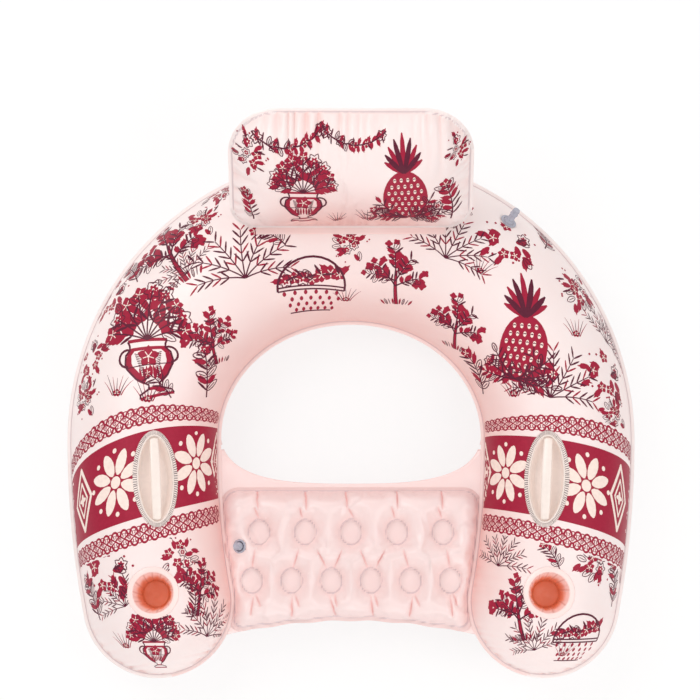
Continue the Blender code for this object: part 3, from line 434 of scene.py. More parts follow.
seat = {
    "sideGap": 0.009, "back": 0.100, "front": 0.333, "frontBow": 0.030, "corner": 0.030,   # the pad's weld
    "rise": 0.034, "sag": 0.030, "edgeRun": 0.050, "tuftRun": 0.034,
    "tuftWidth": 0.0198, "tuftLength": 0.0232,      # half sizes of the spot welds
    "backTufts": 5, "backPitch": 0.08556, "backRow": 0.177,         # the two rows of spot welds
    "frontTufts": 6, "frontPitch": 0.07375, "frontRow": 0.267,
    "seam": 0.007, "topFace": ring["seamHeight"] - ring["lift"] - 0.0003,
    "holeHalf": 0.245, "holeFront": 0.086, "holeHorn": 0.030, "holeSquareness": 3.0,    # the web's hole
    "webClearance": 0.0012,
    "cell": 0.0036, "sheet": ((-0.256, -0.376), (0.256, -0.088)),
    "webCell": 0.0045, "webSheet": ((-0.256, -0.376), (0.256, 0.032)), "webWave": 0.0011, "webBelow": 0.0008,
    "fold": (0.0044, 0.0038), "crease": (0.0016, 0.0026),                    # width and depth
    "scallop": 0.0022,                               # how far the front weld draws in between its creases
    "flatBelow": 0.008,                              # folds fade out under this height
    # low and crease are painted shade: deeper pink where the pad is low near its edges, and along its creases
    "blushAndShade": {"base": 0.10, "low": 0.20, "lowHeight": 0.028, "edge": 0.03, "crease": 0.85},
    "webBlush": {"base": 0.04, "weld": 0.15, "weldReach": 0.006},
    "air": {"growth": 0.035, "pressure": 3.0, "frames": 24, "stretch": 30.0, "bend": 0.2},
    "valve": (-0.207, -0.204), "valveHeight": 0.021, "valveLean": 27.0,
    "valveFlat": 0.0142, "valveBlend": 0.022, "valveHole": 0.0112,
}


def insideRing(x, y):  # distance from the ring's inner weld into the opening, y from the widest place
    away = np.hypot(x[..., None] - line[:, 0], y[..., None] + ring["middleY"] - line[:, 1])
    nearest = away.argmin(-1)
    return away.min(-1) - line[nearest, 4]


def roundedMin(a, b, radius):
    corner = radius - np.hypot(radius - a, radius - b)
    return np.where((a >= radius) | (b >= radius), np.minimum(a, b), corner)


def frontWeld(x):
    beat = 2 * math.pi * x / seat["frontPitch"]
    bow = seat["frontBow"] * (x / seat["holeHalf"]) ** 2
    return -seat["front"] - bow - seat["scallop"] * 0.5 * (1 + np.cos(beat))


def padDepth(x, y):  # distance inside the pad's weld
    side = insideRing(x, y) - seat["sideGap"]
    ends = roundedMin(-seat["back"] - y, side, seat["corner"])
    return roundedMin(y - frontWeld(x), ends, seat["corner"])


def tuftRow(count, pitch, back):
    return [((i - (count - 1) / 2) * pitch, -back) for i in range(count)]


tufts = tuftRow(seat["backTufts"], seat["backPitch"], seat["backRow"])
tufts += tuftRow(seat["frontTufts"], seat["frontPitch"], seat["frontRow"])


def tuftDepth(x, y):  # distance outside the nearest spot weld
    wide, long = seat["tuftWidth"], seat["tuftLength"]
    return np.min([(np.hypot((x - a) / wide, (y - b) / long) - 1) * wide for a, b in tufts], axis=0)


def swell(away, run):
    return np.sqrt(1 - (1 - np.clip(away / run, 0, 1)) ** 2)


def padSwell(x, y):
    return swell(padDepth(x, y), seat["edgeRun"]) * swell(tuftDepth(x, y), seat["tuftRun"])


def creaseAlong(x, y, start, end, width, first, last):  # 1 on the fold's line, from share first to last
    way = np.subtract(end, start)
    share = np.clip(((x - start[0]) * way[0] + (y - start[1]) * way[1]) / (way @ way), 0, 1)
    away = np.hypot(x - start[0] - share * way[0], y - start[1] - share * way[1])
    length = np.clip((share - first) / (last - first), 0, 1)
    return np.exp(-(away / width) ** 2) * np.sin(math.pi * length) ** 0.7


def padCreases(x, y, width):  # folds from the spot welds to the pad's edges, and from row to row
    total = np.zeros_like(x)
    back, front = tufts[:seat["backTufts"]], tufts[seat["backTufts"]:]
    reach, backWeld, frontEdge = seat["tuftLength"], -seat["back"], -seat["front"]
    folds = []
    for i, (tuftX, tuftY) in enumerate(back):
        off, rim = 0.006 * math.sin(2.3 * i), tuftY + reach
        folds.append(((tuftX + off, rim), (tuftX - 0.004 + off, backWeld - 0.002), 0.30, 1.25))
        folds.append(((tuftX - off, rim), (tuftX - 0.016, backWeld - 0.012), 0.05, 0.55))
    for i, (tuftX, tuftY) in enumerate(front):
        off, rim = 0.005 * math.sin(1.7 * i + 1), tuftY - reach
        folds.append(((tuftX + off, rim), (tuftX + 0.003 - off, frontEdge + 0.003), 0.10, 1.25))
        folds.append(((tuftX + 0.006, rim), (tuftX + 0.018 + off, frontEdge + 0.006), 0.05, 0.70))
    for i, (backX, backY) in enumerate(back):
        for frontX, frontY in front:
            if abs(backX - frontX) < 0.06:
                lean = 0.004 * math.sin(3.1 * i + 40 * frontX)
                folds.append(((backX * 0.70 + frontX * 0.30, backY - reach * 0.9),
                              (frontX * 0.75 + backX * 0.25 + lean, frontY + reach * 0.95), 0.22, 0.98))
    for start, end, first, last in folds:
        total = np.maximum(total, creaseAlong(x, y, start, end, width, first, last))
    return total


def cutSheet(low, high, cell, depthAt):  # a flat sheet of square cells, trimmed to where depthAt is nought
    low, high = np.array(low), np.array(high)
    columns, rows = (int(n) for n in np.rint((high - low) / cell))
    wide, long = high - low
    shape = gridShape(columns, rows, lambda column, row: np.stack((
        low[0] + wide * column / columns, low[1] + long * row / rows, 0 * column), 1))
    flat = np.array([point.co[:2] for point in shape.verts])
    outside = depthAt(flat[:, 0], flat[:, 1]) < -0.35 * cell
    bmesh.ops.delete(shape, geom=[p for p, out in zip(shape.verts[:], outside) if out], context="VERTS")
    for _ in range(3):
        edge = [point for point in shape.verts if point.is_boundary]
        x, y = np.array([point.co[:2] for point in edge]).T
        step = 1e-4
        depth = depthAt(x, y)
        slopeX = (depthAt(x + step, y) - depthAt(x - step, y)) / (2 * step)
        slopeY = (depthAt(x, y + step) - depthAt(x, y - step)) / (2 * step)
        steep = np.maximum(slopeX ** 2 + slopeY ** 2, 0.2)
        for point, dx, dy in zip(edge, -slopeX * depth / steep, -slopeY * depth / steep):
            point.co.x += dx
            point.co.y += dy
    return shape


heldWithin = 0.0005  # points this near to a weld are kept still


def inflate(piece, held, air):  # blows a sheet up along its normals, with the held points kept still
    group = piece.vertex_groups.new(name="weld")
    group.add([int(i) for i in np.flatnonzero(held)], 1.0, "REPLACE")
    cloth = piece.modifiers.new("air", "CLOTH")
    film = cloth.settings
    film.quality = 7
    film.mass = 0.3
    film.tension_stiffness = film.compression_stiffness = air["stretch"]
    film.shear_stiffness = air["stretch"] / 3
    film.bending_stiffness = air["bend"]
    film.air_damping = 3.0
    film.vertex_group_mass = "weld"
    film.shrink_min = -air["growth"]
    film.use_pressure = True
    film.uniform_pressure_force = air["pressure"]
    film.effector_weights.gravity = 0
    cloth.collision_settings.use_collision = False
    cloth.point_cache.frame_end = air["frames"]
    for count in range(1, air["frames"] + 1):
        scene.frame_set(count)
    graph = bpy.context.evaluated_depsgraph_get()
    blown = piece.evaluated_get(graph).to_mesh()
    places = np.array([point.co for point in blown.vertices])
    piece.modifiers.clear()
    piece.vertex_groups.clear()
    scene.frame_set(1)
    return places


def movePoints(piece, places):
    piece.data.vertices.foreach_set("co", np.asarray(places, np.float32).ravel())
    piece.data.update()


def pointsOf(piece):
    places = np.zeros(len(piece.data.vertices) * 3, np.float32)
    piece.data.vertices.foreach_get("co", places)
    return places.reshape(-1, 3).astype(float)


def addAttribute(piece, name, values):
    made = piece.data.attributes.new(name, "FLOAT", "POINT")
    made.data.foreach_set("value", np.asarray(values, np.float32))


def cutFacets(shape, gone):  # deletes the faces whose middles are in gone(points)
    middles = np.array([face.calc_center_median() for face in shape.faces])
    out = [face for face, cut in zip(shape.faces[:], gone(middles)) if cut]
    bmesh.ops.delete(shape, geom=out, context="FACES")


def dropFaces(piece, gone):
    shape = bmesh.new()
    shape.from_mesh(piece.data)
    cutFacets(shape, gone)
    shape.to_mesh(piece.data)
    shape.free()


def refine(piece, wanted):  # divides the edges whose middles, on the flat film, are in wanted(x, y)
    shape = bmesh.new()
    shape.from_mesh(piece.data)
    across, along = shape.verts.layers.float["flatX"], shape.verts.layers.float["flatY"]
    middles = np.array([((one[across] + two[across]) / 2, (one[along] + two[along]) / 2)
                        for one, two in (edge.verts for edge in shape.edges)])
    chosen = [edge for edge, hit in zip(shape.edges[:], wanted(middles[:, 0], middles[:, 1])) if hit]
    bmesh.ops.subdivide_edges(shape, edges=chosen, cuts=2, use_grid_fill=True)
    bmesh.ops.triangulate(shape, faces=[face for face in shape.faces if len(face.verts) > 4])
    shape.to_mesh(piece.data)
    shape.free()


def attributeOf(piece, name):
    values = np.empty(len(piece.data.vertices), np.float32)
    piece.data.attributes[name].data.foreach_get("value", values)
    return values.astype(float)


def seatTop():
    shape = cutSheet(*seat["sheet"], seat["cell"], lambda x, y: padDepth(x, y) + seat["seam"])
    piece = addPiece("seatTopFilm", shape, (seatFilm,), None)
    flat = pointsOf(piece)
    x, y = flat[:, 0], flat[:, 1]
    addAttribute(piece, "flatX", x)
    addAttribute(piece, "flatY", y)
    rise = seat["rise"] * padSwell(x, y)
    width, deep = seat["fold"]
    flat[:, 2] = rise - deep * padCreases(x, y, width) * np.clip(rise / seat["flatBelow"], 0, 1)
    movePoints(piece, flat)
    held = np.minimum(padDepth(x, y), tuftDepth(x, y)) < heldWithin
    movePoints(piece, inflate(piece, held, seat["air"]))
    width, deep = seat["crease"]
    refine(piece, lambda x, y: padCreases(x, y, width * 1.6) > 0.05)
    flat = pointsOf(piece)
    x, y = attributeOf(piece, "flatX"), attributeOf(piece, "flatY")
    depth, tuft, creases = padDepth(x, y), tuftDepth(x, y), padCreases(x, y, width)
    flat[:, 2] -= deep * creases * np.clip(flat[:, 2] / seat["flatBelow"], 0, 1)
    valveX, valveY = seat["valve"]
    level = seat["valveHeight"] + (x - valveX) * math.tan(math.radians(seat["valveLean"]))
    away = np.hypot(x - valveX, y - valveY)
    share = smoothStep(away, seat["valveFlat"], seat["valveFlat"] + seat["valveBlend"])
    flat[:, 2] = flat[:, 2] * share + level * (1 - share)
    addAttribute(piece, "nearWeld", np.maximum(nearWeldReach - np.minimum(np.abs(depth), np.abs(tuft)), 0))
    # painted shade: deeper pink where the pad is low near its edge, and along the creases
    look = seat["blushAndShade"]
    low = 1 - np.clip(flat[:, 2] / look["lowHeight"], 0, 1)
    blushAndShade = look["base"] + look["low"] * low * (depth < look["edge"]) + look["crease"] * creases
    addAttribute(piece, "blushAndShade", blushAndShade * (tuft > 0))
    flat += (0, ring["middleY"], seat["topFace"])
    movePoints(piece, flat)
    valveY += ring["middleY"]
    dropFaces(piece, lambda p: np.hypot(p[:, 0] - valveX, p[:, 1] - valveY) < seat["valveHole"])
    return asFilm(piece, "float", "seat_top_film")


def webDepth(x, y):
    side = insideRing(x, y) - seat["webClearance"]
    across = np.clip(np.abs(x) / seat["holeHalf"], 0, 0.9995)
    hole = seat["holeHorn"] - (seat["holeFront"] + seat["holeHorn"]) * (
        1 - across ** seat["holeSquareness"]) ** (1 / seat["holeSquareness"])
    front = y + seat["front"] + seat["frontBow"] * (x / seat["holeHalf"]) ** 2 + seat["seam"]
    return np.minimum(np.minimum(side, (hole - y) * 0.6), front)


def seatBase():
    shape = cutSheet(*seat["webSheet"], seat["webCell"], webDepth)
    piece = addPiece("seatBaseFilm", shape, (seatFilm,), None)
    flat = pointsOf(piece)
    x, y = flat[:, 0], flat[:, 1]
    flat[:, 2] = -seat["sag"] * padSwell(x, y)
    depth = webDepth(x, y)
    web = np.clip(-padDepth(x, y) / 0.02, 0, 1) * np.clip(depth / 0.012, 0, 1)
    wave = np.sin(x * 95 + 1.5 * np.sin(y * 60)) * np.sin(y * 70 + x * 30)
    flat[:, 2] -= web * seat["webWave"] * (1 + wave)
    edges = np.minimum(np.abs(padDepth(x, y)), np.abs(tuftDepth(x, y)))
    addAttribute(piece, "nearWeld", np.maximum(nearWeldReach - edges, 0))
    look = seat["webBlush"]
    addAttribute(piece, "blushAndShade", look["base"] + look["weld"] * np.exp(-depth / look["weldReach"]))
    flat += (0, ring["middleY"], seat["topFace"] - seat["webBelow"])
    movePoints(piece, flat)
    return asFilm(piece, "float", "seat_base_film")


seatUpper = seatTop()
seatBase()
print("seat made:", len(seatUpper.data.polygons), "cells")


# Headrest: a pillow of two films, welded all round and hinged on a strip along the ring's crown

headrest = {
    "width": 0.430, "height": 0.246, "thickness": 0.116, "topCorner": 0.086, "footCorner": 0.042,
    "seam": 0.007, "fullness": 0.62, "clearance": 0.0004, "filmHalf": 0.00065,
    "cell": 0.0038, "sheet": ((-0.2226, -0.0016), (0.2226, 0.2546)),
    "pleatDepth": 0.0072, "pleatReach": 0.046, "pleatPitch": 0.026,                     # under the top weld
    "sidePleatDepth": 0.0040, "sidePleatReach": 0.016, "sidePleatPitch": 0.017,         # round the rest
    "hinge": (0.0, 0.31677, 0.25631), "tilt": 42.0,
    "air": {"growth": 0.022, "pressure": 4.0, "frames": 24, "stretch": 30.0, "bend": 0.25},
    "valve": (0.11498, 0.10499), "valveRadius": 0.0112, "valveFlat": 0.0175, "valveBlend": 0.018,
    "stripLength": 0.350, "stripFoot": 0.024, "stripPast": 0.0006, "stripLift": 0.0009,
    "stripClimb": 0.0040, "stripWall": 0.0005,
    # folded forward it lies on the ring here, and the film gives way
    "rests": (0.157, 0.028), "restSize": (0.026, 0.015), "give": 0.0017,
    # middle and fold are painted shade: deeper pink towards the pillow's lower middle and in its pleats
    "blushAndShade": {"base": 0.03, "middle": 0.70, "weld": 0.10, "weldReach": 0.008, "fold": 0.5, "flange": -0.4},
}
headrestLean = Matrix.Rotation(math.radians(headrest["tilt"] - 90), 4, "X")
headrestFrame = Matrix.Translation(headrest["hinge"]) @ headrestLean
pillowMiddle = (headrest["seam"] + headrest["height"]) / 2
pillowHalf = (headrest["height"] - headrest["seam"]) / 2


def pillowDepth(x, up):  # distance inside the pillow's weld
    radius = np.where(up > pillowMiddle, headrest["topCorner"], headrest["footCorner"])
    return roundedMin(headrest["width"] / 2 - np.abs(x), pillowHalf - np.abs(up - pillowMiddle), radius)


def pillowOff(x, up):  # the taut form, without pleats
    share = np.minimum(np.clip(pillowDepth(x, up), 0, None) / pillowHalf, 1)
    bulge = headrest["thickness"] / 2 - headrest["filmHalf"]
    return headrest["filmHalf"] + bulge * (1 - (1 - share) ** 2) ** headrest["fullness"]


def pillowPleats(x, up):
    depth = np.clip(pillowDepth(x, up), 0, None)
    along = 0.17 * np.arctan2(x, np.abs(up - pillowMiddle) + 0.03)
    top = smoothStep(up, pillowMiddle, pillowMiddle + 0.06) * (1 - smoothStep(np.abs(x), 0.15, 0.21))
    long = pleats(1.2 * x + 0.004 * np.sin(53 * x) + 0.12, depth,
                  headrest["pleatDepth"], headrest["pleatReach"], headrest["pleatPitch"])
    short = pleats(along + 0.3 * (up > pillowMiddle), depth,
                   headrest["sidePleatDepth"], headrest["sidePleatReach"], headrest["sidePleatPitch"])
    return top * long + (1 - top) * short


def toFrame(place, points):
    turn = np.array(place)
    return points @ turn[:3, :3].T + turn[:3, 3]


def toHeadrest(x, up, off):  # from the flat film to the leaning pillow; off is towards the front
    return toFrame(headrestFrame, np.stack((x, -np.asarray(off), up), -1))


def pillow():
    def depthAt(x, up):
        return np.minimum(pillowDepth(x, up) + headrest["seam"], up - headrest["clearance"])

    shape = cutSheet(*headrest["sheet"], headrest["cell"], depthAt)
    front = addPiece("headrestFrontFilm", shape, (printedFilm,), None)
    flat = pointsOf(front)
    x, up = flat[:, 0].copy(), flat[:, 1].copy()
    depth = pillowDepth(x, up)
    taut = pillowOff(x, up) + pillowPleats(x, up)
    movePoints(front, np.stack((x, up, taut - headrest["filmHalf"]), 1))
    blown = inflate(front, depth < heldWithin, headrest["air"])
    blown[:, 2] += headrest["filmHalf"] + 0.8 * pillowPleats(x, up)
    (wide, foot), (acrossSize, upSize) = headrest["rests"], headrest["restSize"]
    near = ((np.abs(x) - wide) / acrossSize) ** 2 + ((up - foot) / upSize) ** 2
    blown[:, 2] -= headrest["give"] * np.exp(-near)
    addAttribute(front, "nearWeld", np.maximum(nearWeldReach - np.abs(depth), 0))
    look = headrest["blushAndShade"]
    # painted shade: deeper pink towards the lower middle, and in the pleats
    middle = (1 - smoothStep(up, 0.0, 0.17)) * (1 - smoothStep(np.abs(x), 0.08, 0.21))
    pillowTintAndShade = look["base"] + look["middle"] * middle
    pillowTintAndShade += look["weld"] * np.exp(-np.abs(depth) / look["weldReach"])
    pillowTintAndShade += look["fold"] * np.clip(-pillowPleats(x, up) / headrest["pleatDepth"], 0, 1)
    addAttribute(front, "blushAndShade", np.where(depth < -0.001, look["flange"], pillowTintAndShade))
    back = front.copy()
    back.data = front.data.copy()
    back.name = back.data.name = "headrestBackFilm"
    back.data.materials[0] = plainFilm
    scene.collection.objects.link(back)
    movePoints(front, toHeadrest(blown[:, 0], blown[:, 1], blown[:, 2]))
    # the back film lies flat round its valve, on the taut form's slope
    valveX, valveUp = headrest["valve"]
    away = np.hypot(x - valveX, up - valveUp)
    share = smoothStep(away, headrest["valveFlat"], headrest["valveFlat"] + headrest["valveBlend"])[:, None]
    step = 0.001
    under, level, over = pillowOff(np.full(3, valveX), valveUp + np.array((-step, 0, step)))
    slope = (over - under) / (2 * step)
    flat = np.stack((x, up, level + (up - valveUp) * slope), 1)
    spots = blown * share + flat * (1 - share)
    movePoints(back, toHeadrest(spots[:, 0], spots[:, 1], -spots[:, 2]))
    back.data.flip_normals()
    hole = toHeadrest(valveX, valveUp, -level)
    dropFaces(back, lambda p: np.linalg.norm(p - hole, axis=1) < headrest["valveRadius"])
    asFilm(front, "headrest", "headrest_front_film")
    asFilm(back, "headrest", "headrest_back_film")
    return front, x, up


headrestFront, headrestFlatX, headrestFlatUp = pillow()


def hingeStrip():  # welded to the ring's crown and up into the pillow's weld: it bends as the headrest tilts
    hinge = headrest["hinge"]
    foot = headrest["stripFoot"]
    columns, footRows, climbRows = 140, 12, 4

    def place(column, row):
        x = headrest["stripLength"] * (column / columns - 0.5)
        y = hinge[1] - foot / 2 + np.clip(row / footRows, 0, 1) * (foot / 2 + headrest["stripPast"])
        low = np.stack((x, y, ringTop(x, y) + headrest["stripLift"]), 1)
        climb = np.clip((row - footRows) / climbRows, 0, 1)
        high = toHeadrest(x, headrest["stripClimb"] * climb, 0 * x)
        return low * (1 - climb[:, None]) + high * climb[:, None]

    shape = gridShape(columns, footRows + climbRows, place)
    bmesh.ops.recalc_face_normals(shape, faces=shape.faces)
    piece = addPiece("headrestHingeStrip", shape, (plainFilm,), None)
    addAttribute(piece, "blushAndShade", np.full(len(piece.data.vertices), 0.3))
    giveWall(piece, headrest["stripWall"], 0.0)
    bake(piece)
    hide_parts("headrest_hinge_strip")
    lean = toHeadrest(0.0, headrest["stripClimb"], 0.0)
    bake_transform(piece, "float", "headrest", start=(hinge[0], hinge[1], hinge[2] - 0.0012), end=tuple(lean))


hingeStrip()
print("headrest made:", len(headrestFront.data.polygons), "cells")


# Cup holders

cup = {
    "forward": 0.292, "mouth": 0.0375, "base": 0.0255, "depth": 0.094, "rim": 0.0095, "bend": 0.0008,
    "steps": 144, "wallRows": 22, "filmHole": 0.0045,       # the ring's film ends this far outside the mouth
    "floorWall": 0.0005, "floorInset": 0.0007, "floorLift": 0.0009, "floorWave": 0.0007,
    "folds": (8, 41, 66, 92, 118, 149, 176, 205, 249, 281, 322),      # degrees
    "foldDepth": 0.0017, "foldWidth": 5.5, "foldTwist": 9, "foldShadeWidth": 2.6,
    "orangeAndShade": ((0.12, "#E98A61"), (0.60, "#F2B39C"), (0.95, "#F8DDD8")),     # from the base up: painted shade, a darker and deeper orange towards the cup's floor
    # painted shade along the cup's folds
    "foldShadeTone": "#B4532F",
}


def cupMaterial():
    # orange PVC film, heat-formed, with painted light: a painted glow inside the cup, and painted shade,
    # darker towards its floor and along its folds
    material, shader = newMaterial("heat-formed PVC film, orange")
    place = addNode(material, "TexCoord", {}, {})
    split = addNode(material, "SeparateXYZ", {}, {"Vector": place.outputs["Object"]})
    # painted shade: the orange darkens and deepens down towards the cup's floor
    depth = addNode(material, "MapRange", {"interpolation_type": "SMOOTHSTEP"}, {
        "Value": split.outputs["Z"], "From Min": 0.140, "From Max": 0.231})
    cloud = addNode(material, "TexNoise", {}, {
        "Vector": place.outputs["Object"], "Scale": 1 / 0.018, "Detail": 2.0})
    mixed = addNode(material, "Math", {"operation": "MULTIPLY_ADD", "use_clamp": True}, {
        0: cloud.outputs["Fac"], 1: 0.35, 2: depth.outputs[0]})
    orangeShaded = addNode(material, "ValToRGB", {}, {"Fac": mixed.outputs[0]})
    ramp = orangeShaded.color_ramp
    ramp.elements.new(0.95)
    for element, (position, code) in zip(ramp.elements, cup["orangeAndShade"]):
        element.position, element.color = position, colour(code)
    # a painted glow inside the cup, below its mouth
    inside = addNode(material, "MapRange", {"interpolation_type": "SMOOTHSTEP"}, {
        "Value": split.outputs["Z"], "From Min": 0.215, "From Max": 0.235, "To Min": 0.12, "To Max": 0.0})
    # painted shade along the folds
    foldShading = addNode(material, "Attribute", {"attribute_name": "foldShade"}, {})
    tint = addNode(material, "Mix", {"data_type": "RGBA"}, {
        0: foldShading.outputs["Fac"], 6: orangeShaded.outputs["Color"], 7: colour(cup["foldShadeTone"])})
    feed(material, shader, {
        "Base Color": tint.outputs[2], "Roughness": 0.26, "IOR": vinylIor,
        "Emission Color": orangeShaded.outputs["Color"], "Emission Strength": inside.outputs[0]})
    return material


cupFilm = cupMaterial()


def cupPlace(side):
    y = ring["middleY"] - cup["forward"]
    x = side * line[-1 - np.abs(line[::-1, 1] - y).argmin(), 0]
    return x, y, float(ringTop(x, y))


def foldGap(degrees, low):  # angles from each of the cup's folds, which twist on their way down
    return (degrees[:, None] - np.array(cup["folds"]) - cup["foldTwist"] * low[:, None] + 180) % 360 - 180


def cupHolder(name, side):
    x0, y0, z0 = cupPlace(side)
    mouth, base = cup["mouth"], cup["base"]
    # the flange's rows: distance from the middle, and height over the ring's film
    flange = ((mouth + cup["rim"], 0.00045), (mouth + cup["rim"] - 0.001, 0.0008), (mouth + 0.004, 0.0009),
              (mouth + 0.002, 0.0011), (mouth + cup["bend"], 0.0008))
    walls = np.concatenate((np.linspace(0.02, 1.0, cup["wallRows"]), (1.0, 1.0)))
    rows = len(flange) + len(walls)

    def place(column, row):
        turn = 2 * math.pi * column / cup["steps"]
        cos, sin = np.cos(turn), np.sin(turn)
        out, over = (np.array(v)[np.clip(row, 0, len(flange) - 1)] for v in zip(*flange))
        x, y = x0 + out * cos, y0 + out * sin
        ledge = np.stack((x, y, ringTop(x, y) + over), 1)
        share = walls[np.clip(row - len(flange), 0, len(walls) - 1)]
        gap = foldGap(np.degrees(turn), share)
        fold = np.exp(-(gap / cup["foldWidth"]) ** 2).sum(1) - 0.5 * np.exp(-((gap - 9) / 8) ** 2).sum(1)
        fold *= np.sin(math.pi * np.clip(share, 0, 1)) ** 0.6
        radius = mouth + (base - mouth) * share ** 0.85 - cup["foldDepth"] * fold
        radius = np.where(row == rows, base - 0.003, radius)
        height = ringTop(x0 + mouth * cos, y0 + mouth * sin) * (1 - share) + (z0 - cup["depth"]) * share
        wall = np.stack((x0 + radius * cos, y0 + radius * sin, height), 1)
        return np.where((row < len(flange))[:, None], ledge, wall)

    shape = closeUp(gridShape(cup["steps"], rows, place))
    sleeve = addPiece(name + "CupSleeve", shape, (cupFilm,), "float", (name + "_cup_sleeve",))
    # painted shade along the folds inside the cup, strongest halfway down
    spots = pointsOf(sleeve) - (x0, y0, z0)
    low = np.clip(-spots[:, 2] / cup["depth"], 0, 1)
    gap = foldGap(np.degrees(np.arctan2(spots[:, 1], spots[:, 0])), low)
    inside = np.hypot(spots[:, 0], spots[:, 1]) < mouth - 0.0003
    strength = inside * (0.15 + 0.55 * np.sin(math.pi * low) ** 0.5)
    addAttribute(sleeve, "foldShade", np.exp(-(gap / cup["foldShadeWidth"]) ** 2).max(1) * strength)
    giveWall(sleeve, offset=0.0)
    disc = bmesh.new()
    bmesh.ops.create_circle(disc, cap_ends=True, cap_tris=True, segments=72, radius=base - cup["floorInset"])
    bmesh.ops.subdivide_edges(disc, edges=[e for e in disc.edges if not e.is_boundary], cuts=7)
    for point in disc.verts:
        away = point.co.length / base
        point.co.z = cup["floorWave"] * math.cos(away * 9) * (1 - away)
    bmesh.ops.translate(disc, vec=(x0, y0, z0 - cup["depth"] + cup["floorLift"]), verts=disc.verts)
    floor = addPiece(name + "CupBase", disc, (cupFilm,), "float", (name + "_cup_base",))
    giveWall(floor, cup["floorWall"])
    dropFaces(ringUpper, lambda p: np.hypot(p[:, 0] - x0, p[:, 1] - y0) < mouth + cup["filmHole"])


sides = (("left", -1), ("right", 1))
for name, side in sides:
    cupHolder(name, side)
print("cup holders made")


# Grab handles

handle = {
    "forward": 0.086, "inboard": 0.028, "halfLength": 0.0885, "halfWidth": 0.0415, "rim": 0.010,
    "wellDepth": 0.030, "floorShare": 0.74, "wall": 0.0007,
    "ribs": 124, "ribHeight": 0.0007, "toothDepth": 0.0004,
    # the flange's rows: inset from the outer edge, height over the film, and how far the ribs show
    "flange": ((0.0, 0.0002, 0), (0.0002, 0.0008, 0.6), (0.0008, 0.0011, 1), (0.0066, 0.0012, 1),
               (0.0070, 0.0013, 0.1), (0.0073, 0.0018, 0), (0.0077, 0.0032, 0), (0.0083, 0.0041, 0),
               (0.0091, 0.0043, 0), (0.0098, 0.0036, 0), (0.0101, 0.0022, 0)),
    "lipFrom": 0.0073, "lipTo": 0.0105, "flangeAbove": -0.02,
    "filmHole": -0.0055,        # the ring's film ends this far inside the flange's edge
    "floor": (0.93, 0.80, 0.60, 0.35, 0.0),     # the well's floor, from its edge to its middle
    "gripWidth": 0.018, "gripThickness": 0.007, "gripArch": 0.005, "gripReach": 0.0755,
}


def mouldedMaterial(name, code, roughness, see, through=0.0, grainMm=1.6):
    # soft PVC, injection moulded and left unpigmented: milky and half clear, with faint flow marks;
    # its emission is a painted glow that stands in for light coming through it from the bright chamber behind
    material, shader = newMaterial(name)
    place = addNode(material, "TexCoord", {}, {})
    flow = addNode(material, "TexNoise", {}, {
        "Vector": place.outputs["Object"], "Scale": 1 / 0.014, "Detail": 3.0, "Distortion": 1.2})
    tint = addNode(material, "Mix", {"data_type": "RGBA"}, {
        0: flow.outputs["Fac"], 6: shade(code, 0.93), 7: shade(code, 1.05)})
    skin = addNode(material, "TexNoise", {}, {
        "Vector": place.outputs["Object"], "Scale": 1000 / grainMm / 2, "Detail": 1.0})
    bump = addNode(material, "Bump", {}, {
        "Height": skin.outputs["Fac"], "Distance": 0.00003, "Strength": 0.6})
    feed(material, shader, {
        "Base Color": tint.outputs[2], "Roughness": roughness, "Normal": bump.outputs["Normal"],
        "IOR": vinylIor, "Transmission Weight": see,
        "Emission Color": tint.outputs[2], "Emission Strength": through})
    return material


handleVinyl = mouldedMaterial("moulded PVC, milky", "#F3E6DF", 0.28, 0.0, 0.07)
# painted shade: a dark grey for the faces between the flange's ribs
handleGrooveShade = mouldedMaterial("moulded PVC, milky, painted shade in the grooves", "#8F8280", 0.40, 0.0)
gripVinyl = mouldedMaterial("moulded PVC, cream", "#EEE3DB", 0.25, 0.0, 0.02)
valveVinyl = mouldedMaterial("moulded PVC, clear bluish", "#BFC0CE", 0.18, 0.30, 0.04)


def intoFrame(place, points):
    return (points - np.array(place.translation)) @ np.array(place)[:3, :3]


def flangePart(place, points):  # 1 between two ribs of the flange, where the painted shade of the grooves goes, 2 on its lip, 0 elsewhere
    x, y, height = intoFrame(place, points).T
    wide, long = handle["halfWidth"], handle["halfLength"]
    beat = np.arctan2(y / long, x / wide) * handle["ribs"] / (2 * math.pi) % 1
    reach = np.arange(0, 0.012, 0.0002)
    outside = (x[:, None] / (wide - reach)) ** 2 + (y[:, None] / (long - reach)) ** 2 >= 1
    inset = np.where(outside.any(1), reach[outside.argmax(1)], 1.0)
    part = np.where(inset > handle["lipFrom"], 2, (beat < 0.25) | (beat > 0.75))
    return np.where((height < handle["flangeAbove"]) | (inset > handle["lipTo"]), 0, part)


def handleFrame(side):
    middle = ring["middleY"] - handle["forward"]
    share = math.sqrt(1 - (handle["forward"] / ring["armBow"]) ** 2)
    place = np.array((side * ring["halfWidth"] * share, middle))
    out = np.array((side * share / ring["halfWidth"], -handle["forward"] / ring["armBow"] ** 2))
    out /= np.linalg.norm(out)
    spot = place - out * handle["inboard"]
    step = 0.002
    slopeX = float(ringTop(spot[0] + step, spot[1]) - ringTop(spot[0] - step, spot[1])) / (2 * step)
    slopeY = float(ringTop(spot[0], spot[1] + step) - ringTop(spot[0], spot[1] - step)) / (2 * step)
    normal = Vector((-slopeX, -slopeY, 1)).normalized()
    across = Vector((-out[1] * side, out[0] * side, 0)).cross(normal)
    along = normal.cross(across).normalized()
    made = Matrix((along.cross(normal), along, normal)).transposed().to_4x4()
    made.translation = (spot[0], spot[1], float(ringTop(spot[0], spot[1])))
    return made


def filmDrop(place, x, y):  # height of the ring's film along a frame's Z, over points of its XY plane
    turn = np.array(place)
    height = np.zeros(np.shape(x))
    for _ in range(8):
        spot = np.stack((x, y, height), -1) @ turn[:3, :3].T + turn[:3, 3]
        height = height - (spot[..., 2] - ringTop(spot[..., 0], spot[..., 1])) / turn[2, 2]
    return height


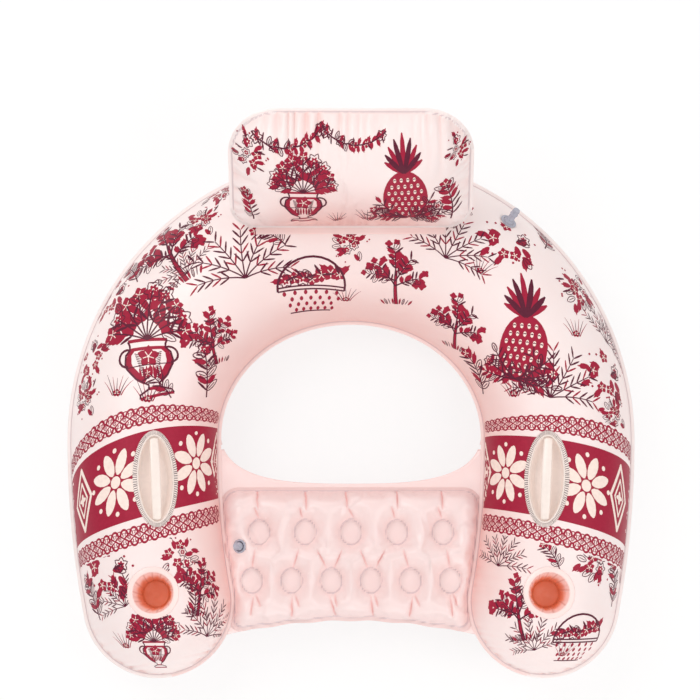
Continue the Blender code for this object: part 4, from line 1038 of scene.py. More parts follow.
def handleWell(name, place):
    mouthWide, mouthLong = handle["halfWidth"] - handle["rim"], handle["halfLength"] - handle["rim"]
    columns = handle["ribs"] * 4
    flange, floor = handle["flange"], np.array(handle["floor"])
    wall = np.linspace(0.05, 1.0, 12)
    wallEnd = len(flange) + len(wall)

    def spot(column, row):
        turn = 2 * math.pi * column / columns
        cos, sin = np.cos(turn), np.sin(turn)
        inset, over, rib = (np.array(v)[np.clip(row, 0, len(flange) - 1)] for v in zip(*flange))
        tooth = handle["toothDepth"] * np.array((-1, 1, 1, -1))[column % 4] * (row < 2)
        x, y = (handle["halfWidth"] - inset + tooth) * cos, (handle["halfLength"] - inset + tooth) * sin
        high = np.array((0.0, 1.0, 1.0, 0.0))[column % 4] * rib * handle["ribHeight"]
        ledge = np.stack((x, y, filmDrop(place, x, y) + over + high), 1)
        share = wall[np.clip(row - len(flange), 0, len(wall) - 1)]
        size = 1 - (1 - handle["floorShare"]) * share ** 1.6
        top = filmDrop(place, mouthWide * cos, mouthLong * sin)
        down = (top + 0.0008) * (1 - share) - handle["wellDepth"] * np.sin(math.pi / 2 * share)
        wallSpot = np.stack(((mouthWide - 0.0006) * size * cos, (mouthLong - 0.0006) * size * sin, down), 1)
        shrink = floor[np.clip(row - wallEnd, 0, len(floor) - 1)]
        bed = np.stack((mouthWide * handle["floorShare"] * shrink * cos,
                        mouthLong * handle["floorShare"] * shrink * sin,
                        -handle["wellDepth"] - 0.0006 * (1 - shrink)), 1)
        inWall, inFlange = (row < wallEnd)[:, None], (row < len(flange))[:, None]
        return toFrame(place, np.where(inFlange, ledge, np.where(inWall, wallSpot, bed)))

    shape = closeUp(gridShape(columns, wallEnd + len(floor) - 1, spot))
    well = addPiece(name + "HandleWell", shape, (handleVinyl, handleGrooveShade, gripVinyl), "float",
                    (name + "_handle_well",))
    parts = flangePart(place, np.array([face.center for face in well.data.polygons]))
    well.data.polygons.foreach_set("material_index", parts.astype(np.int32))
    if sum(face.normal.z for face in well.data.polygons) < 0:
        well.data.flip_normals()
    giveWall(well, handle["wall"])


def handleGrip(name, place):
    steps, faces = 60, 28
    reach = handle["gripReach"]

    def bar(column, row):
        along = reach * (2 * column / steps - 1)
        turn = 2 * math.pi * row / faces
        flare = 1 - 0.20 * (along / reach) ** 4 + 0.16 * np.abs(along / reach) ** 18
        arch = handle["gripArch"] * np.cos(math.pi / 2 * along / reach) - handle["gripThickness"] * 0.55
        cos, sin = np.cos(turn), np.sin(turn)
        wide = handle["gripWidth"] / 2 * flare * np.sign(cos) * np.abs(cos) ** 0.75
        high = handle["gripThickness"] / 2 * np.sign(sin) * np.abs(sin) ** 0.85
        high *= np.where(sin > 0, 1.0, 0.55)    # flatter below
        limit = (reach + 0.0007) * np.sqrt(1 - np.clip(wide / 0.031, -0.99, 0.99) ** 2) - 0.0007
        return toFrame(place, np.stack((wide, np.clip(along, -limit, limit), arch + high), 1))

    shape = gridShape(steps, faces, bar)
    bmesh.ops.remove_doubles(shape, verts=shape.verts, dist=1e-6)
    bmesh.ops.holes_fill(shape, edges=[edge for edge in shape.edges if edge.is_boundary])
    bmesh.ops.recalc_face_normals(shape, faces=shape.faces)
    addPiece(name + "HandleGrip", shape, (gripVinyl,), "float", (name + "_handle_grip",))


def insideHandle(place, points, grow):  # which points lie over a handle's oval
    x, y, _ = intoFrame(place, points).T
    return (x / (handle["halfWidth"] + grow)) ** 2 + (y / (handle["halfLength"] + grow)) ** 2 < 1


handlePlaces = [handleFrame(side) for _, side in sides]
for (name, _), place in zip(sides, handlePlaces):
    handleWell(name, place)
    handleGrip(name, place)
    dropFaces(ringUpper, lambda p: insideHandle(place, p, handle["filmHole"]))
print("handles made")


# Valves: flange, rolling boot, stem, cap on its strap, and the flap that holds the air

valve = {
    "mouth": 0.0106, "flangeThickness": 0.0008, "stemRadius": 0.0065, "bore": 0.0040, "stemLength": 0.016,
    "foot": 0.0074, "footHeight": 0.0012, "stand": 0.006, "travel": 0.018, "collar": 0.0076,
    "capRadius": 0.0068, "capHeight": 0.0090, "capRibs": 7, "ribDepth": 0.0008,
    "hinge": 0.0098, "strap": 0.0036, "bootWall": 0.0007, "flap": 0.0056, "flapThickness": 0.0006,
    "steps": 56, "gap": 0.0003,
}


def spun(profile, closed):
    shape = bmesh.new()
    points = [shape.verts.new((radius, 0, height)) for radius, height in profile]
    edges = [shape.edges.new(pair) for pair in zip(points, points[1:])]
    if closed:
        edges.append(shape.edges.new((points[-1], points[0])))
    bmesh.ops.spin(shape, geom=points + edges, axis=(0, 0, 1), cent=(0, 0, 0), steps=valve["steps"],
                   angle=2 * math.pi, use_merge=True)
    return closeUp(shape)


def slab(shape, low, high, bevel):
    made = bmesh.ops.create_cube(shape, size=1.0)["verts"]
    size = Vector(high) - Vector(low)
    bmesh.ops.scale(shape, vec=size, verts=made)
    bmesh.ops.translate(shape, vec=(Vector(low) + Vector(high)) / 2, verts=made)
    edges = list({edge for point in made for edge in point.link_edges})
    bmesh.ops.bevel(shape, geom=edges, offset=bevel, segments=2, affect="EDGES", profile=0.5, material=-1)


def softProfile(points, cut):  # rounds the corners of a profile
    made = [points[0]]
    for before, here, after in zip(points, points[1:], points[2:]):
        for other in (before, after):
            run = math.dist(here, other)
            share = min(0.45, cut / run) if run > 1e-9 else 0
            made.append((here[0] + (other[0] - here[0]) * share, here[1] + (other[1] - here[1]) * share))
    return [*made, points[-1]]


def addValve(name, prefix, place, flange, pushedIn, fixedTo):
    node = prefix + "_valve"
    mouth, bore, foot, radius = valve["mouth"], valve["bore"], valve["foot"], valve["stemRadius"]
    gap, footHeight, half = valve["gap"], valve["footHeight"], valve["strap"] / 2

    def add(title, shape, body, part):
        bmesh.ops.transform(shape, matrix=place, verts=shape.verts)
        return addPiece(name + title, shape, (valveVinyl,), body, (node + part,))

    low, high = gap, gap + valve["flangeThickness"]
    plate = softProfile(((mouth, low), (flange, low), (flange, high - 0.0004), (flange - 0.0012, high),
                         (flange - 0.0030, high - 0.0002), (flange - 0.0034, high + 0.0002),
                         (mouth + 0.001, high + 0.0002), (mouth, high)), 0.0002)
    add("Flange", spun(plate, True), fixedTo, "_flange")

    bottom = valve["stand"] - (valve["travel"] if pushedIn else 0.0)
    top = bottom + valve["stemLength"]
    wide, narrow = mouth - 0.0003, foot + 0.0003 + valve["bootWall"]
    if pushedIn:
        rolls = ((wide - 0.0004, high - 0.004), (wide - 0.0011, bottom * 0.55),
                 (narrow + 0.0003, bottom - 0.001))
    else:
        rolls = ((wide - 0.0006, high + 0.0012), (narrow + 0.0008, high + 0.0026), (narrow, bottom - 0.001))
    outer = softProfile(((wide, high), *rolls, (narrow, bottom + footHeight)), 0.001)
    inner = [(r - valve["bootWall"], z) for r, z in reversed(outer)]
    rolled = add("Boot", spun(outer + inner, True), None, "_boot")
    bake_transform(rolled, fixedTo, prefix + "_stem", start=place @ Vector((0, 0, high)),
             end=place @ Vector((0, 0, bottom + footHeight * 0.6)))

    collar = valve["collar"]
    body = spun(softProfile((
        (bore, bottom), (foot, bottom), (foot, bottom + footHeight), (radius, bottom + footHeight),
        (radius, top - 0.0033), (collar, top - 0.0033), (collar, top - 0.0008), (radius, top - 0.0004),
        (radius, top), (bore, top), (bore, bottom)), 0.00025), False)
    slab(body, (bore + 0.001, -half, top - 0.0022), (valve["hinge"] + 0.0003, half, top - 0.0004), 0.0003)
    slab(body, (-foot, -0.002, bottom - 0.0009), (-foot + 0.001, 0.002, bottom + 0.0006), 0.0002)
    add("Stem", body, prefix + "_stem", "_stem")

    under, tall, capRadius = top + gap, valve["capHeight"], valve["capRadius"]
    crown = under + tall
    ribs = [(capRadius - valve["ribDepth"] * (i % 2), under + tall * (i + share) / valve["capRibs"])
            for i in range(valve["capRibs"]) for share in (0.08, 0.92)]
    cap = spun(softProfile((
        (0, under - 0.0038), (bore * 0.72, under - 0.0038), (bore * 0.92, under), (capRadius, under),
        *ribs[1:-1], (capRadius - 0.0006, crown - 0.0001), (capRadius - 0.0016, crown),
        (capRadius - 0.0026, crown - 0.0007), (0, crown - 0.0007)), 0.00018), False)
    slab(cap, (capRadius - 0.001, -half, under), (valve["hinge"] - 0.0003, half, under + 0.0010), 0.0003)
    add("Cap", cap, prefix + "_cap", "_cap")

    upper = bottom - gap
    lower = upper - valve["flapThickness"]
    disc = softProfile(((0, lower), (valve["flap"], lower), (valve["flap"], upper), (0, upper)), 0.00015)
    add("Flap", spun(disc, False), prefix + "_flap", "_flap")


def frameOf(origin, x, y, z):
    made = Matrix((x, y, z)).transposed().to_4x4()
    made.translation = origin
    return made


# the valves' places in the solids: middle, strap's side, and outwards
ringValve = frameOf((0.29309, 0.33791, 0.19555), (0.38012, 0.5385, -0.75202), (-0.79492, 0.60586, 0.03203),
                    (0.47287, 0.58562, 0.65836))
seatValve = frameOf((-0.207, -0.26323, 0.13805), (-0.89101, 0, -0.45399), (0, -1, 0),
                    (-0.45399, 0, 0.89101))
headrestValve = frameOf((0.115, 0.43284, 0.28433), (1, 0, 0), (0, -0.81094, -0.58513),
                        (0, 0.58513, -0.81094))
addValve("ringValve", "ring", ringValve, 0.016, False, "float")
addValve("seatValve", "seat", seatValve, 0.0132, True, "float")
addValve("headrestValve", "headrest", headrestValve, 0.016, True, "headrest")
dropFaces(ringUpper, lambda p: np.linalg.norm(p - np.array(ringValve.translation), axis=1) < 0.0135)
giveWall(ringUpper)
giveWall(ringLower)
print("valves made")


# Print: flat shapes of ink, drawn in a plane as complex numbers and then laid on a film, a hair above it

def paint(points, spots, ink):
    for point, spot in zip(points, spots):
        point.co = (spot.real, spot.imag, inkLift[ink])
    for face in {face for point in points for face in point.link_faces}:
        face.material_index = inkSlots.index(ink)


def blob(shape, ink, at, turn, edge, count=12):  # edge(angle) is the outline round the shape's own middle
    made = bmesh.ops.create_circle(shape, cap_ends=True, cap_tris=True, segments=count, radius=1.0)["verts"]
    flat = np.array([complex(*point.co[:2]) for point in made])
    rim = np.abs(flat) > 0.5
    spots = edge(np.angle(flat))
    spots[~rim] = spots[rim].mean()
    paint(made, at + spots * np.exp(1j * turn), ink)


def stroke(shape, ink, path, width):
    path, steps = np.asarray(path, complex), len(path) - 1
    made = bmesh.ops.create_grid(shape, x_segments=steps, y_segments=1, size=0.5)["verts"]
    flat = np.array([point.co[:2] for point in made])
    column = np.rint((flat[:, 0] + 0.5) * steps).astype(int)
    heading = np.gradient(path)
    heading /= np.maximum(np.abs(heading), 1e-9)
    width = np.broadcast_to(width, len(path))
    paint(made, path[column] + 1j * heading[column] * flat[:, 1] * width[column], ink)


def leafEdge(length, width, lobes=0):
    def edge(angle):
        side = np.sin(angle)
        body = length * (0.5 + 0.5 * np.cos(angle)) + 0.5j * width * np.sign(side) * np.abs(side) ** 1.25
        return body * (1 + 0.10 * np.cos(lobes * angle)) if lobes else body
    return edge


def petalEdge(radius, petals, depth=0.22):
    return lambda angle: radius * (1 + depth * np.cos(petals * angle)) * np.exp(1j * angle)


def openEdge(shape, at, turn, edge, width=0.0015, count=12):  # an outline only
    angle = np.linspace(-math.pi, math.pi, count + 1)
    stroke(shape, "plum", at + edge(angle) * np.exp(1j * turn), width)


def leaf(shape, dice, at, turn, length, width):
    kind = dice.random()
    if kind < 0.5:
        blob(shape, "crimson", at, turn, leafEdge(length, width, 5))
    elif kind < 0.8:
        blob(shape, "plum", at, turn, leafEdge(length, width * 0.42), 8)
    else:
        openEdge(shape, at, turn, leafEdge(length, width))
        stroke(shape, "plum", at + np.exp(1j * turn) * length * np.array((0.15, 0.45, 0.75)), 0.0012)


def flower(shape, dice, at, radius):
    turn = dice.random() * 6
    if dice.random() < 0.6:
        blob(shape, "crimson", at, turn, petalEdge(radius, 5), 20)
        for i in range(5):
            way = np.exp(1j * (turn + 1.257 * i + 0.63))
            stroke(shape, "cream", at + way * radius * np.array((0.2, 0.62)), 0.0014)
    else:
        openEdge(shape, at, turn, petalEdge(radius, 6), 0.0017, 24)
        blob(shape, "crimson", at, turn, petalEdge(radius * 0.55, 6, 0.3), 18)
    blob(shape, "cream", at, 0, petalEdge(radius * 0.17, 3, 0), 8)


def curve(start, turn, length, bend, count=8):
    share = np.linspace(0, 1, count)
    heading = turn + bend * share
    return start + np.concatenate(((0,), np.cumsum(np.exp(1j * heading[:-1]) * length / (count - 1))))


def drawSprig(shape, dice, at=0j, turn=math.pi / 2, size=0.07, bend=0.6, head=True):
    path = curve(at, turn, size, bend)
    stroke(shape, "plum", path, np.linspace(0.0027, 0.0014, len(path)))
    for i in range(1, len(path) - 1):
        heading = np.angle(path[i + 1] - path[i])
        for side in (-1, 1):
            way = heading + side * (0.75 + 0.3 * dice.random())
            leaf(shape, dice, path[i], way, size * (0.26 + 0.08 * dice.random()), size * 0.12)
    if head:
        flower(shape, dice, path[-1], size * 0.13)
    else:
        leaf(shape, dice, path[-1], turn + bend, size * 0.28, size * 0.12)


def drawPalm(shape, dice, at=0j, turn=math.pi / 2, size=0.08, fronds=7, spread=2.6):
    for i in range(fronds):
        way = turn + spread * (i / (fronds - 1) - 0.5)
        path = curve(at, way, size * (0.8 + 0.3 * dice.random()), 0.5 * (i / (fronds - 1) - 0.5), 7)
        stroke(shape, "plum", path, np.linspace(0.0022, 0.0012, len(path)))
        for j in range(2, len(path)):
            heading = np.angle(path[j] - path[j - 1])
            for side in (-1, 1):
                blob(shape, "plum" if (i + j) % 3 else "crimson", path[j], heading + side * 0.6,
                     leafEdge(size * 0.24, size * 0.035), 8)


def drawBush(shape, dice, size=0.08, blooms=5):
    for i in range(blooms * 3):
        way = dice.random() * 2 * math.pi
        at = size * (0.15 + 0.33 * dice.random()) * np.exp(1j * way)
        leaf(shape, dice, at, way + dice.uniform(-0.7, 0.7), size * 0.26, size * 0.13)
    for i in range(blooms):
        at = size * 0.36 * dice.random() ** 0.5 * np.exp(2j * math.pi * (i + dice.random() * 0.5) / blooms)
        flower(shape, dice, at, size * dice.uniform(0.10, 0.15))
    for i in range(blooms * 2):
        at = size * dice.uniform(0.42, 0.6) * np.exp(2j * math.pi * dice.random())
        blob(shape, "crimson", at, 0, petalEdge(size * 0.026, 3, 0.1), 8)


def drawTree(shape, dice, size=0.17):
    trunk = curve(-0.5j * size, math.pi / 2 + 0.1, size * 0.5, -0.25)
    stroke(shape, "crimson", trunk, np.linspace(size * 0.05, size * 0.026, len(trunk)))
    for side in (-1, 1):
        stroke(shape, "plum", trunk + side * np.linspace(size * 0.027, size * 0.014, len(trunk)), 0.0017)
    for i in range(5):
        branch = curve(trunk[4 + i % 3], math.pi / 2 + (i - 2) * 0.55, size * 0.34, (i - 2) * 0.12)
        stroke(shape, "plum", branch, np.linspace(0.0037, 0.0015, len(branch)))
        for j in range(2, len(branch)):
            for side in (-1, 1):
                way = np.angle(branch[j] - branch[j - 1]) + side * dice.uniform(0.5, 1.3)
                leaf(shape, dice, branch[j], way, size * dice.uniform(0.09, 0.13), size * 0.06)
        for j in range(3):
            at = branch[-1] + size * 0.10 * np.exp(2j * math.pi * dice.random())
            turn = dice.random() * 6
            blob(shape, "crimson", at, turn, petalEdge(size * dice.uniform(0.035, 0.055), 4, 0.2), 16)
    for i in range(9):
        at = -0.5j * size + (i - 4) * size * 0.045
        leaf(shape, dice, at, math.pi / 2 + (4 - i) * 0.16, size * 0.10, size * 0.03)


def drawUrn(shape, dice, size=0.18):
    step = np.linspace(0, 1, 15)
    half = size * np.interp(step, (0, 0.07, 0.13, 0.22, 0.34, 0.6, 0.82, 0.88, 0.94, 1),
                            (0.15, 0.14, 0.05, 0.045, 0.13, 0.21, 0.19, 0.13, 0.16, 0.17))
    spine = -0.5j * size + 0.5j * size * step
    for side in (-1, 1):
        stroke(shape, "plum", spine + side * half, 0.0030)
        shadow = spine[4:13] + side * (half[4:13] - size * 0.030)
        stroke(shape, "crimson", shadow, size * (0.062 - 0.030 * np.linspace(0, 1, 9) ** 2))
        ear = curve(spine[12] + side * half[12], math.pi / 2 - side * 1.3, size * 0.25, -side * 3.6, 10)
        stroke(shape, "plum", ear, 0.0034)
        low, high = spine[5] + side * half[5] * 0.50, spine[11] + side * half[11] * 0.60
        for share in np.linspace(0, 1, 14):     # a row of engraver's strokes
            hatch = np.exp(1j * (math.pi / 2 + side * 1.9)) * size * 0.045 * np.array((0, 0.5, 1))
            stroke(shape, "plum", low + (high - low) * share + hatch, (0.0015, 0.0012, 0.0004))
    for i in range(7):
        at = spine[4] + size * 0.030 * (i - 3) - 0.004j * size * abs(i - 3) + 0.02j * size
        blob(shape, "crimson", at, math.pi / 2, leafEdge(size * 0.12, size * 0.020), 8)
    for row in (0, 2, 8, 12, 14):
        stroke(shape, "crimson" if row != 8 else "plum", spine[row] + np.linspace(-1, 1, 7) * half[row],
               size * (0.028 if row != 8 else 0.008))
    flower(shape, dice, spine[10], size * 0.08)
    for i in range(9):
        way = math.pi / 2 + (i - 4) * 0.30
        path = curve(spine[-1], way, size * (0.42 - 0.02 * abs(i - 4)), (i - 4) * 0.05, 6)
        stroke(shape, "plum", path, 0.0022)
        for j in (2, 3, 4):
            for side in (-1, 1):
                leaf(shape, dice, path[j], way + side * 0.8, size * 0.13, size * 0.06)
        flower(shape, dice, path[-1], size * dice.uniform(0.055, 0.075))


def drawBasket(shape, dice, size=0.12):
    step = np.linspace(-1, 1, 13)
    top, foot = -0.05j * size + 0.44 * size * step, -0.42j * size + 0.30 * size * step
    for i in range(12):
        for j in range(4):
            a = foot[i] + (top[i] - foot[i]) * j / 4
            b = foot[i + 1] + (top[i + 1] - foot[i + 1]) * (j + 1) / 4
            if (i + j) % 2:
                blob(shape, "crimson", (a + b) / 2, 0, leafEdge(size * 0.05, size * 0.075), 8)
    stroke(shape, "plum", foot, 0.0027)
    for row in (0, 0.05j * size):
        stroke(shape, "plum", top + row, 0.0026)
    stroke(shape, "plum", 0.44 * size * np.exp(1j * np.linspace(0, math.pi, 17)) - 0.05j * size, 0.0034)
    for i in range(7):
        at = size * (0.11 * (i - 3)) + 1j * size * (0.07 + 0.13 * dice.random())
        for side in (-1, 1):
            leaf(shape, dice, at, math.pi / 2 + side * dice.uniform(0.5, 1.5), size * 0.17, size * 0.08)
        flower(shape, dice, at, size * dice.uniform(0.07, 0.10))


def drawPineapple(shape, dice, size=0.17):
    def oval(wide, high):
        return lambda angle: wide * np.cos(angle) + 1j * high * np.sin(angle)

    middle, wide, high = -0.12j * size, 0.19 * size, 0.27 * size
    blob(shape, "crimson", middle, 0, oval(wide, high), 28)
    for i in range(-3, 4):
        for j in range(-4, 5):
            at = complex(wide * 0.29 * (i + 0.5 * (j % 2)), high * 0.23 * j)
            if (at.real / wide) ** 2 + (at.imag / high) ** 2 < 0.72:
                blob(shape, "cream", middle + at, math.pi / 2, oval(size * 0.021, size * 0.013), 8)
                stroke(shape, "plum", middle + at + size * np.array((-0.010, 0.006j, 0.010)), 0.0014)
    for i in range(9):
        way = math.pi / 2 + (i - 4) * 0.24
        blob(shape, "plum" if i % 2 else "crimson", middle + 0.9j * high, way,
             leafEdge(size * (0.34 - 0.035 * abs(i - 4)), size * 0.045), 10)
    for side in (-1, 1):
        for i in range(3):
            way = math.pi / 2 + side * (1.0 + 0.35 * i)
            drawSprig(shape, dice, middle - 0.9j * high, way, size * 0.30, side * -0.5, i == 1)


def drawTuft(shape, dice, size=0.04):
    for i in range(7):
        off = i - 3
        length = size * dice.uniform(0.6, 1)
        path = curve(off * size * 0.06, math.pi / 2 - off * 0.17, length, -off * 0.12, 5)
        stroke(shape, "plum" if i % 2 else "crimson", path, np.linspace(size * 0.045, size * 0.01, 5))
    flower(shape, dice, size * 0.1j, size * 0.14)


def drawGarland(shape, dice, size=0.12):
    path = size * (np.linspace(-0.5, 0.5, 15) + 0.22j * np.cosh(np.linspace(-1.3, 1.3, 15)) - 0.3j)
    stroke(shape, "plum", path, 0.0024)
    for i in range(1, 14):
        for side in (-1, 1):
            leaf(shape, dice, path[i], side * 1.2 + dice.uniform(-0.5, 0.5), size * 0.11, size * 0.055)
        if i % 3 == 1:
            flower(shape, dice, path[i], size * dice.uniform(0.055, 0.075))


def flatMotif(draw, seed, *args, longest=0.008):  # a motif as a mesh, fine enough to bend
    shape = bmesh.new()
    draw(shape, random.Random(seed), *args)
    for _ in range(4):
        long = [edge for edge in shape.edges if edge.calc_length() > longest]
        if long:
            bmesh.ops.subdivide_edges(shape, edges=long, cuts=1)
    bmesh.ops.triangulate(shape, faces=shape.faces)
    motif = bpy.data.meshes.new("motif")
    shape.to_mesh(motif)
    shape.free()
    return motif


def lay(shape, motif, mapping):
    before = len(shape.verts)
    shape.from_mesh(motif)
    shape.verts.ensure_lookup_table()
    fresh = shape.verts[before:]
    flat = np.array([point.co for point in fresh])
    for point, spot in zip(fresh, mapping(flat[:, 0] + 1j * flat[:, 1], flat[:, 2])):
        point.co = spot


def filmLimit(run):  # how far round the section ink may go
    return tubeSpread(run)[0] - 0.035


def atRing(x, y, size, lean):  # lays a motif over a place in plan, its foot towards the chair's front
    run, turn = filmSpot(x, y)
    outward = np.array([np.interp(np.clip(run, -armEnd, armEnd), lineRun, line[:, i]) for i in (2, 3)])
    outward /= np.linalg.norm(outward)
    side = 1 if run > 0 else -1
    border = (laceSize["gap"] + laceSize["width"] + 0.003) / bandWide
    behind = abs(run) < bandRun(side, 0.5, turn)
    step = np.array((run - 0.002, run + 0.002))
    stretch = float(np.linalg.norm(np.diff(onRing(step, np.full(2, turn), np.zeros(2)), axis=0))) / 0.004

    def mapping(flat, lift):
        flat = flat * size * np.exp(1j * lean)
        alongRun = (flat.real * outward[1] - flat.imag * outward[0]) / stretch
        across = flat.real * outward[0] + flat.imag * outward[1]
        runs = run + alongRun
        turns = np.clip(turn + across / tubeSpread(runs)[1], -filmLimit(runs), filmLimit(runs))
        if behind:
            runs = side * np.minimum(side * runs, bandRun(side, -border, turns))
        else:
            runs = side * np.maximum(side * runs, bandRun(side, 1 + border, turns))
        return onRing(runs, turns, lift)

    return mapping


bands = {
    # per arm: the crimson band's two edges as run = a + b * turn + c * turn squared
    -1: ((0.5995, 0.0385, 0.0138), (0.7536, 0.0246, 0.0020)),
    1: ((0.6134, 0.0207, 0.0072), (0.7600, 0.0165, 0.0030)),
}
bandWide = 0.150  # the width that a band's motifs are drawn for
bandRadius, bandLimit = 0.1585, 1.385
inkGap = {"cup": 0.0005, "handle": -0.004, "valve": 0.0175}     # where the ring's print makes way
laceSize = {"gap": 0.0125, "width": 0.0335, "pitch": 0.0218, "length": 0.436}


def bandRun(side, share, turn):  # share goes from 0 at the band's back edge to 1 at its front edge
    back, front = (sum(c * turn ** i for i, c in enumerate(edge)) for edge in bands[side])
    return back + (front - back) * share


def atBand(side, middle, share, size):  # lays a motif in a band, its up across the arm
    def mapping(flat, lift):
        turn = middle + flat.real * size / bandRadius
        wide = bandRun(side, 1, turn) - bandRun(side, 0, turn)
        across = flat.imag * size * wide / bandWide
        run = side * (bandRun(side, share, turn) - across)
        return onRing(run, np.clip(turn, -bandLimit, bandLimit), lift)
    return mapping


def drawBandField(shape, dice):
    stroke(shape, "crimson", np.linspace(-0.2197, 0.2197, 61), bandWide)


def drawLace(shape, dice):  # one arm's length of border: a chain of lozenges between two rows of scallops
    pitch, wide = laceSize["pitch"], laceSize["width"]
    count = int(round(laceSize["length"] / pitch))
    angle = np.linspace(0, math.pi, 11)
    upper = np.array((0.50, 0.25 + 0.17j, 0.33j, -0.25 + 0.17j, -0.50))
    diamond = np.concatenate((upper, -upper[1:])) * pitch
    coil = pitch * np.exp(1j * np.linspace(0, 9, 14)) * np.linspace(0.20, 0.03, 14)
    for i in range(count):
        at = complex((i + 0.5 - count / 2) * pitch)
        stroke(shape, "crimson", at + diamond, 0.0031)
        stroke(shape, "crimson", at + coil, 0.0016)
        for side in (-1, 1):
            for shift, rise, thick in ((0.5, 0.48, 0.0040), (0.0, 0.44, 0.0019), (0.5, 0.30, 0.0009)):
                up = wide * (0.13 + (rise - 0.13) * np.sin(angle))
                arc = 0.40 * pitch * np.cos(angle) + 1j * side * up
                stroke(shape, "crimson", at + shift * pitch + arc, thick)


def drawRosette(shape, dice, size):
    for i in range(8):
        way = np.exp(1j * math.pi * (i + 0.5) / 4)
        blob(shape, "cream", way * size * 0.10, np.angle(way), leafEdge(size * 0.36, size * 0.17), 14)
        stroke(shape, "crimson", way * size * np.linspace(0.18, 0.36, 4), size * 0.016)
        dot = size * 0.44 * np.exp(1j * math.pi * i / 4)
        blob(shape, "cream", dot, 0, petalEdge(size * 0.035, 3, 0), 10)
    blob(shape, "cream", 0j, 0, petalEdge(size * 0.085, 3, 0), 16)


def drawLozenge(shape, dice, size):
    for reach, thick in ((0.48, 0.055), (0.27, 0.035)):
        corners = size * reach * np.array((1j, 0.52, -1j, -0.52, 1j))
        for a, b in zip(corners, corners[1:]):
            stroke(shape, "cream", a + (b - a) * np.linspace(-0.04, 1.04, 6), size * thick)
    blob(shape, "cream", 0j, 0, petalEdge(size * 0.075, 4, 0.35), 24)


def finishPrint(name, shape, body, outwards):
    slivers = [face for face in shape.faces if face.calc_area() < 2e-9]
    bmesh.ops.delete(shape, geom=slivers, context="FACES")
    turned = [face for face in shape.faces if face.normal.dot(outwards) < 0]
    bmesh.ops.reverse_faces(shape, faces=turned)
    piece = addPiece(name, shape, list(inks.values()), body)
    print(name, len(piece.data.polygons), "facets")


def printRing():
    shape = bmesh.new()
    border, field = flatMotif(drawLace, 3), flatMotif(drawBandField, 3)
    rosette, lozenge = flatMotif(drawRosette, 5, 0.13), flatMotif(drawLozenge, 5, 0.125)
    off = (laceSize["gap"] + laceSize["width"] / 2) / bandWide
    for side in (-1, 1):
        lay(shape, field, atBand(side, 0.0, 0.5, 1.0))
        for middle, ornament in ((-1.36, lozenge), (-0.82, rosette), (0.34, rosette), (0.95, lozenge)):
            lay(shape, ornament, atBand(side, middle, 0.5, 1.0))
        for share in (-off, 1 + off):
            lay(shape, border, atBand(side, 0.0, share, 1.0))
    for draw, seed, spots in ringMotifs:
        motif = flatMotif(draw, seed)
        for spot in spots:
            lay(shape, motif, atRing(*spot))
    for _, side in sides:
        x0, y0, _ = cupPlace(side)
        around = cup["mouth"] + cup["rim"] + inkGap["cup"]
        cutFacets(shape, lambda p: np.hypot(p[:, 0] - x0, p[:, 1] - y0) < around)
    for place in handlePlaces:
        cutFacets(shape, lambda p: insideHandle(place, p, inkGap["handle"]))
    cutFacets(shape, lambda p: np.linalg.norm(p - np.array(ringValve.translation), axis=1) < inkGap["valve"])
    finishPrint("ringPrint", shape, "float", Vector((0, 0, 1)))


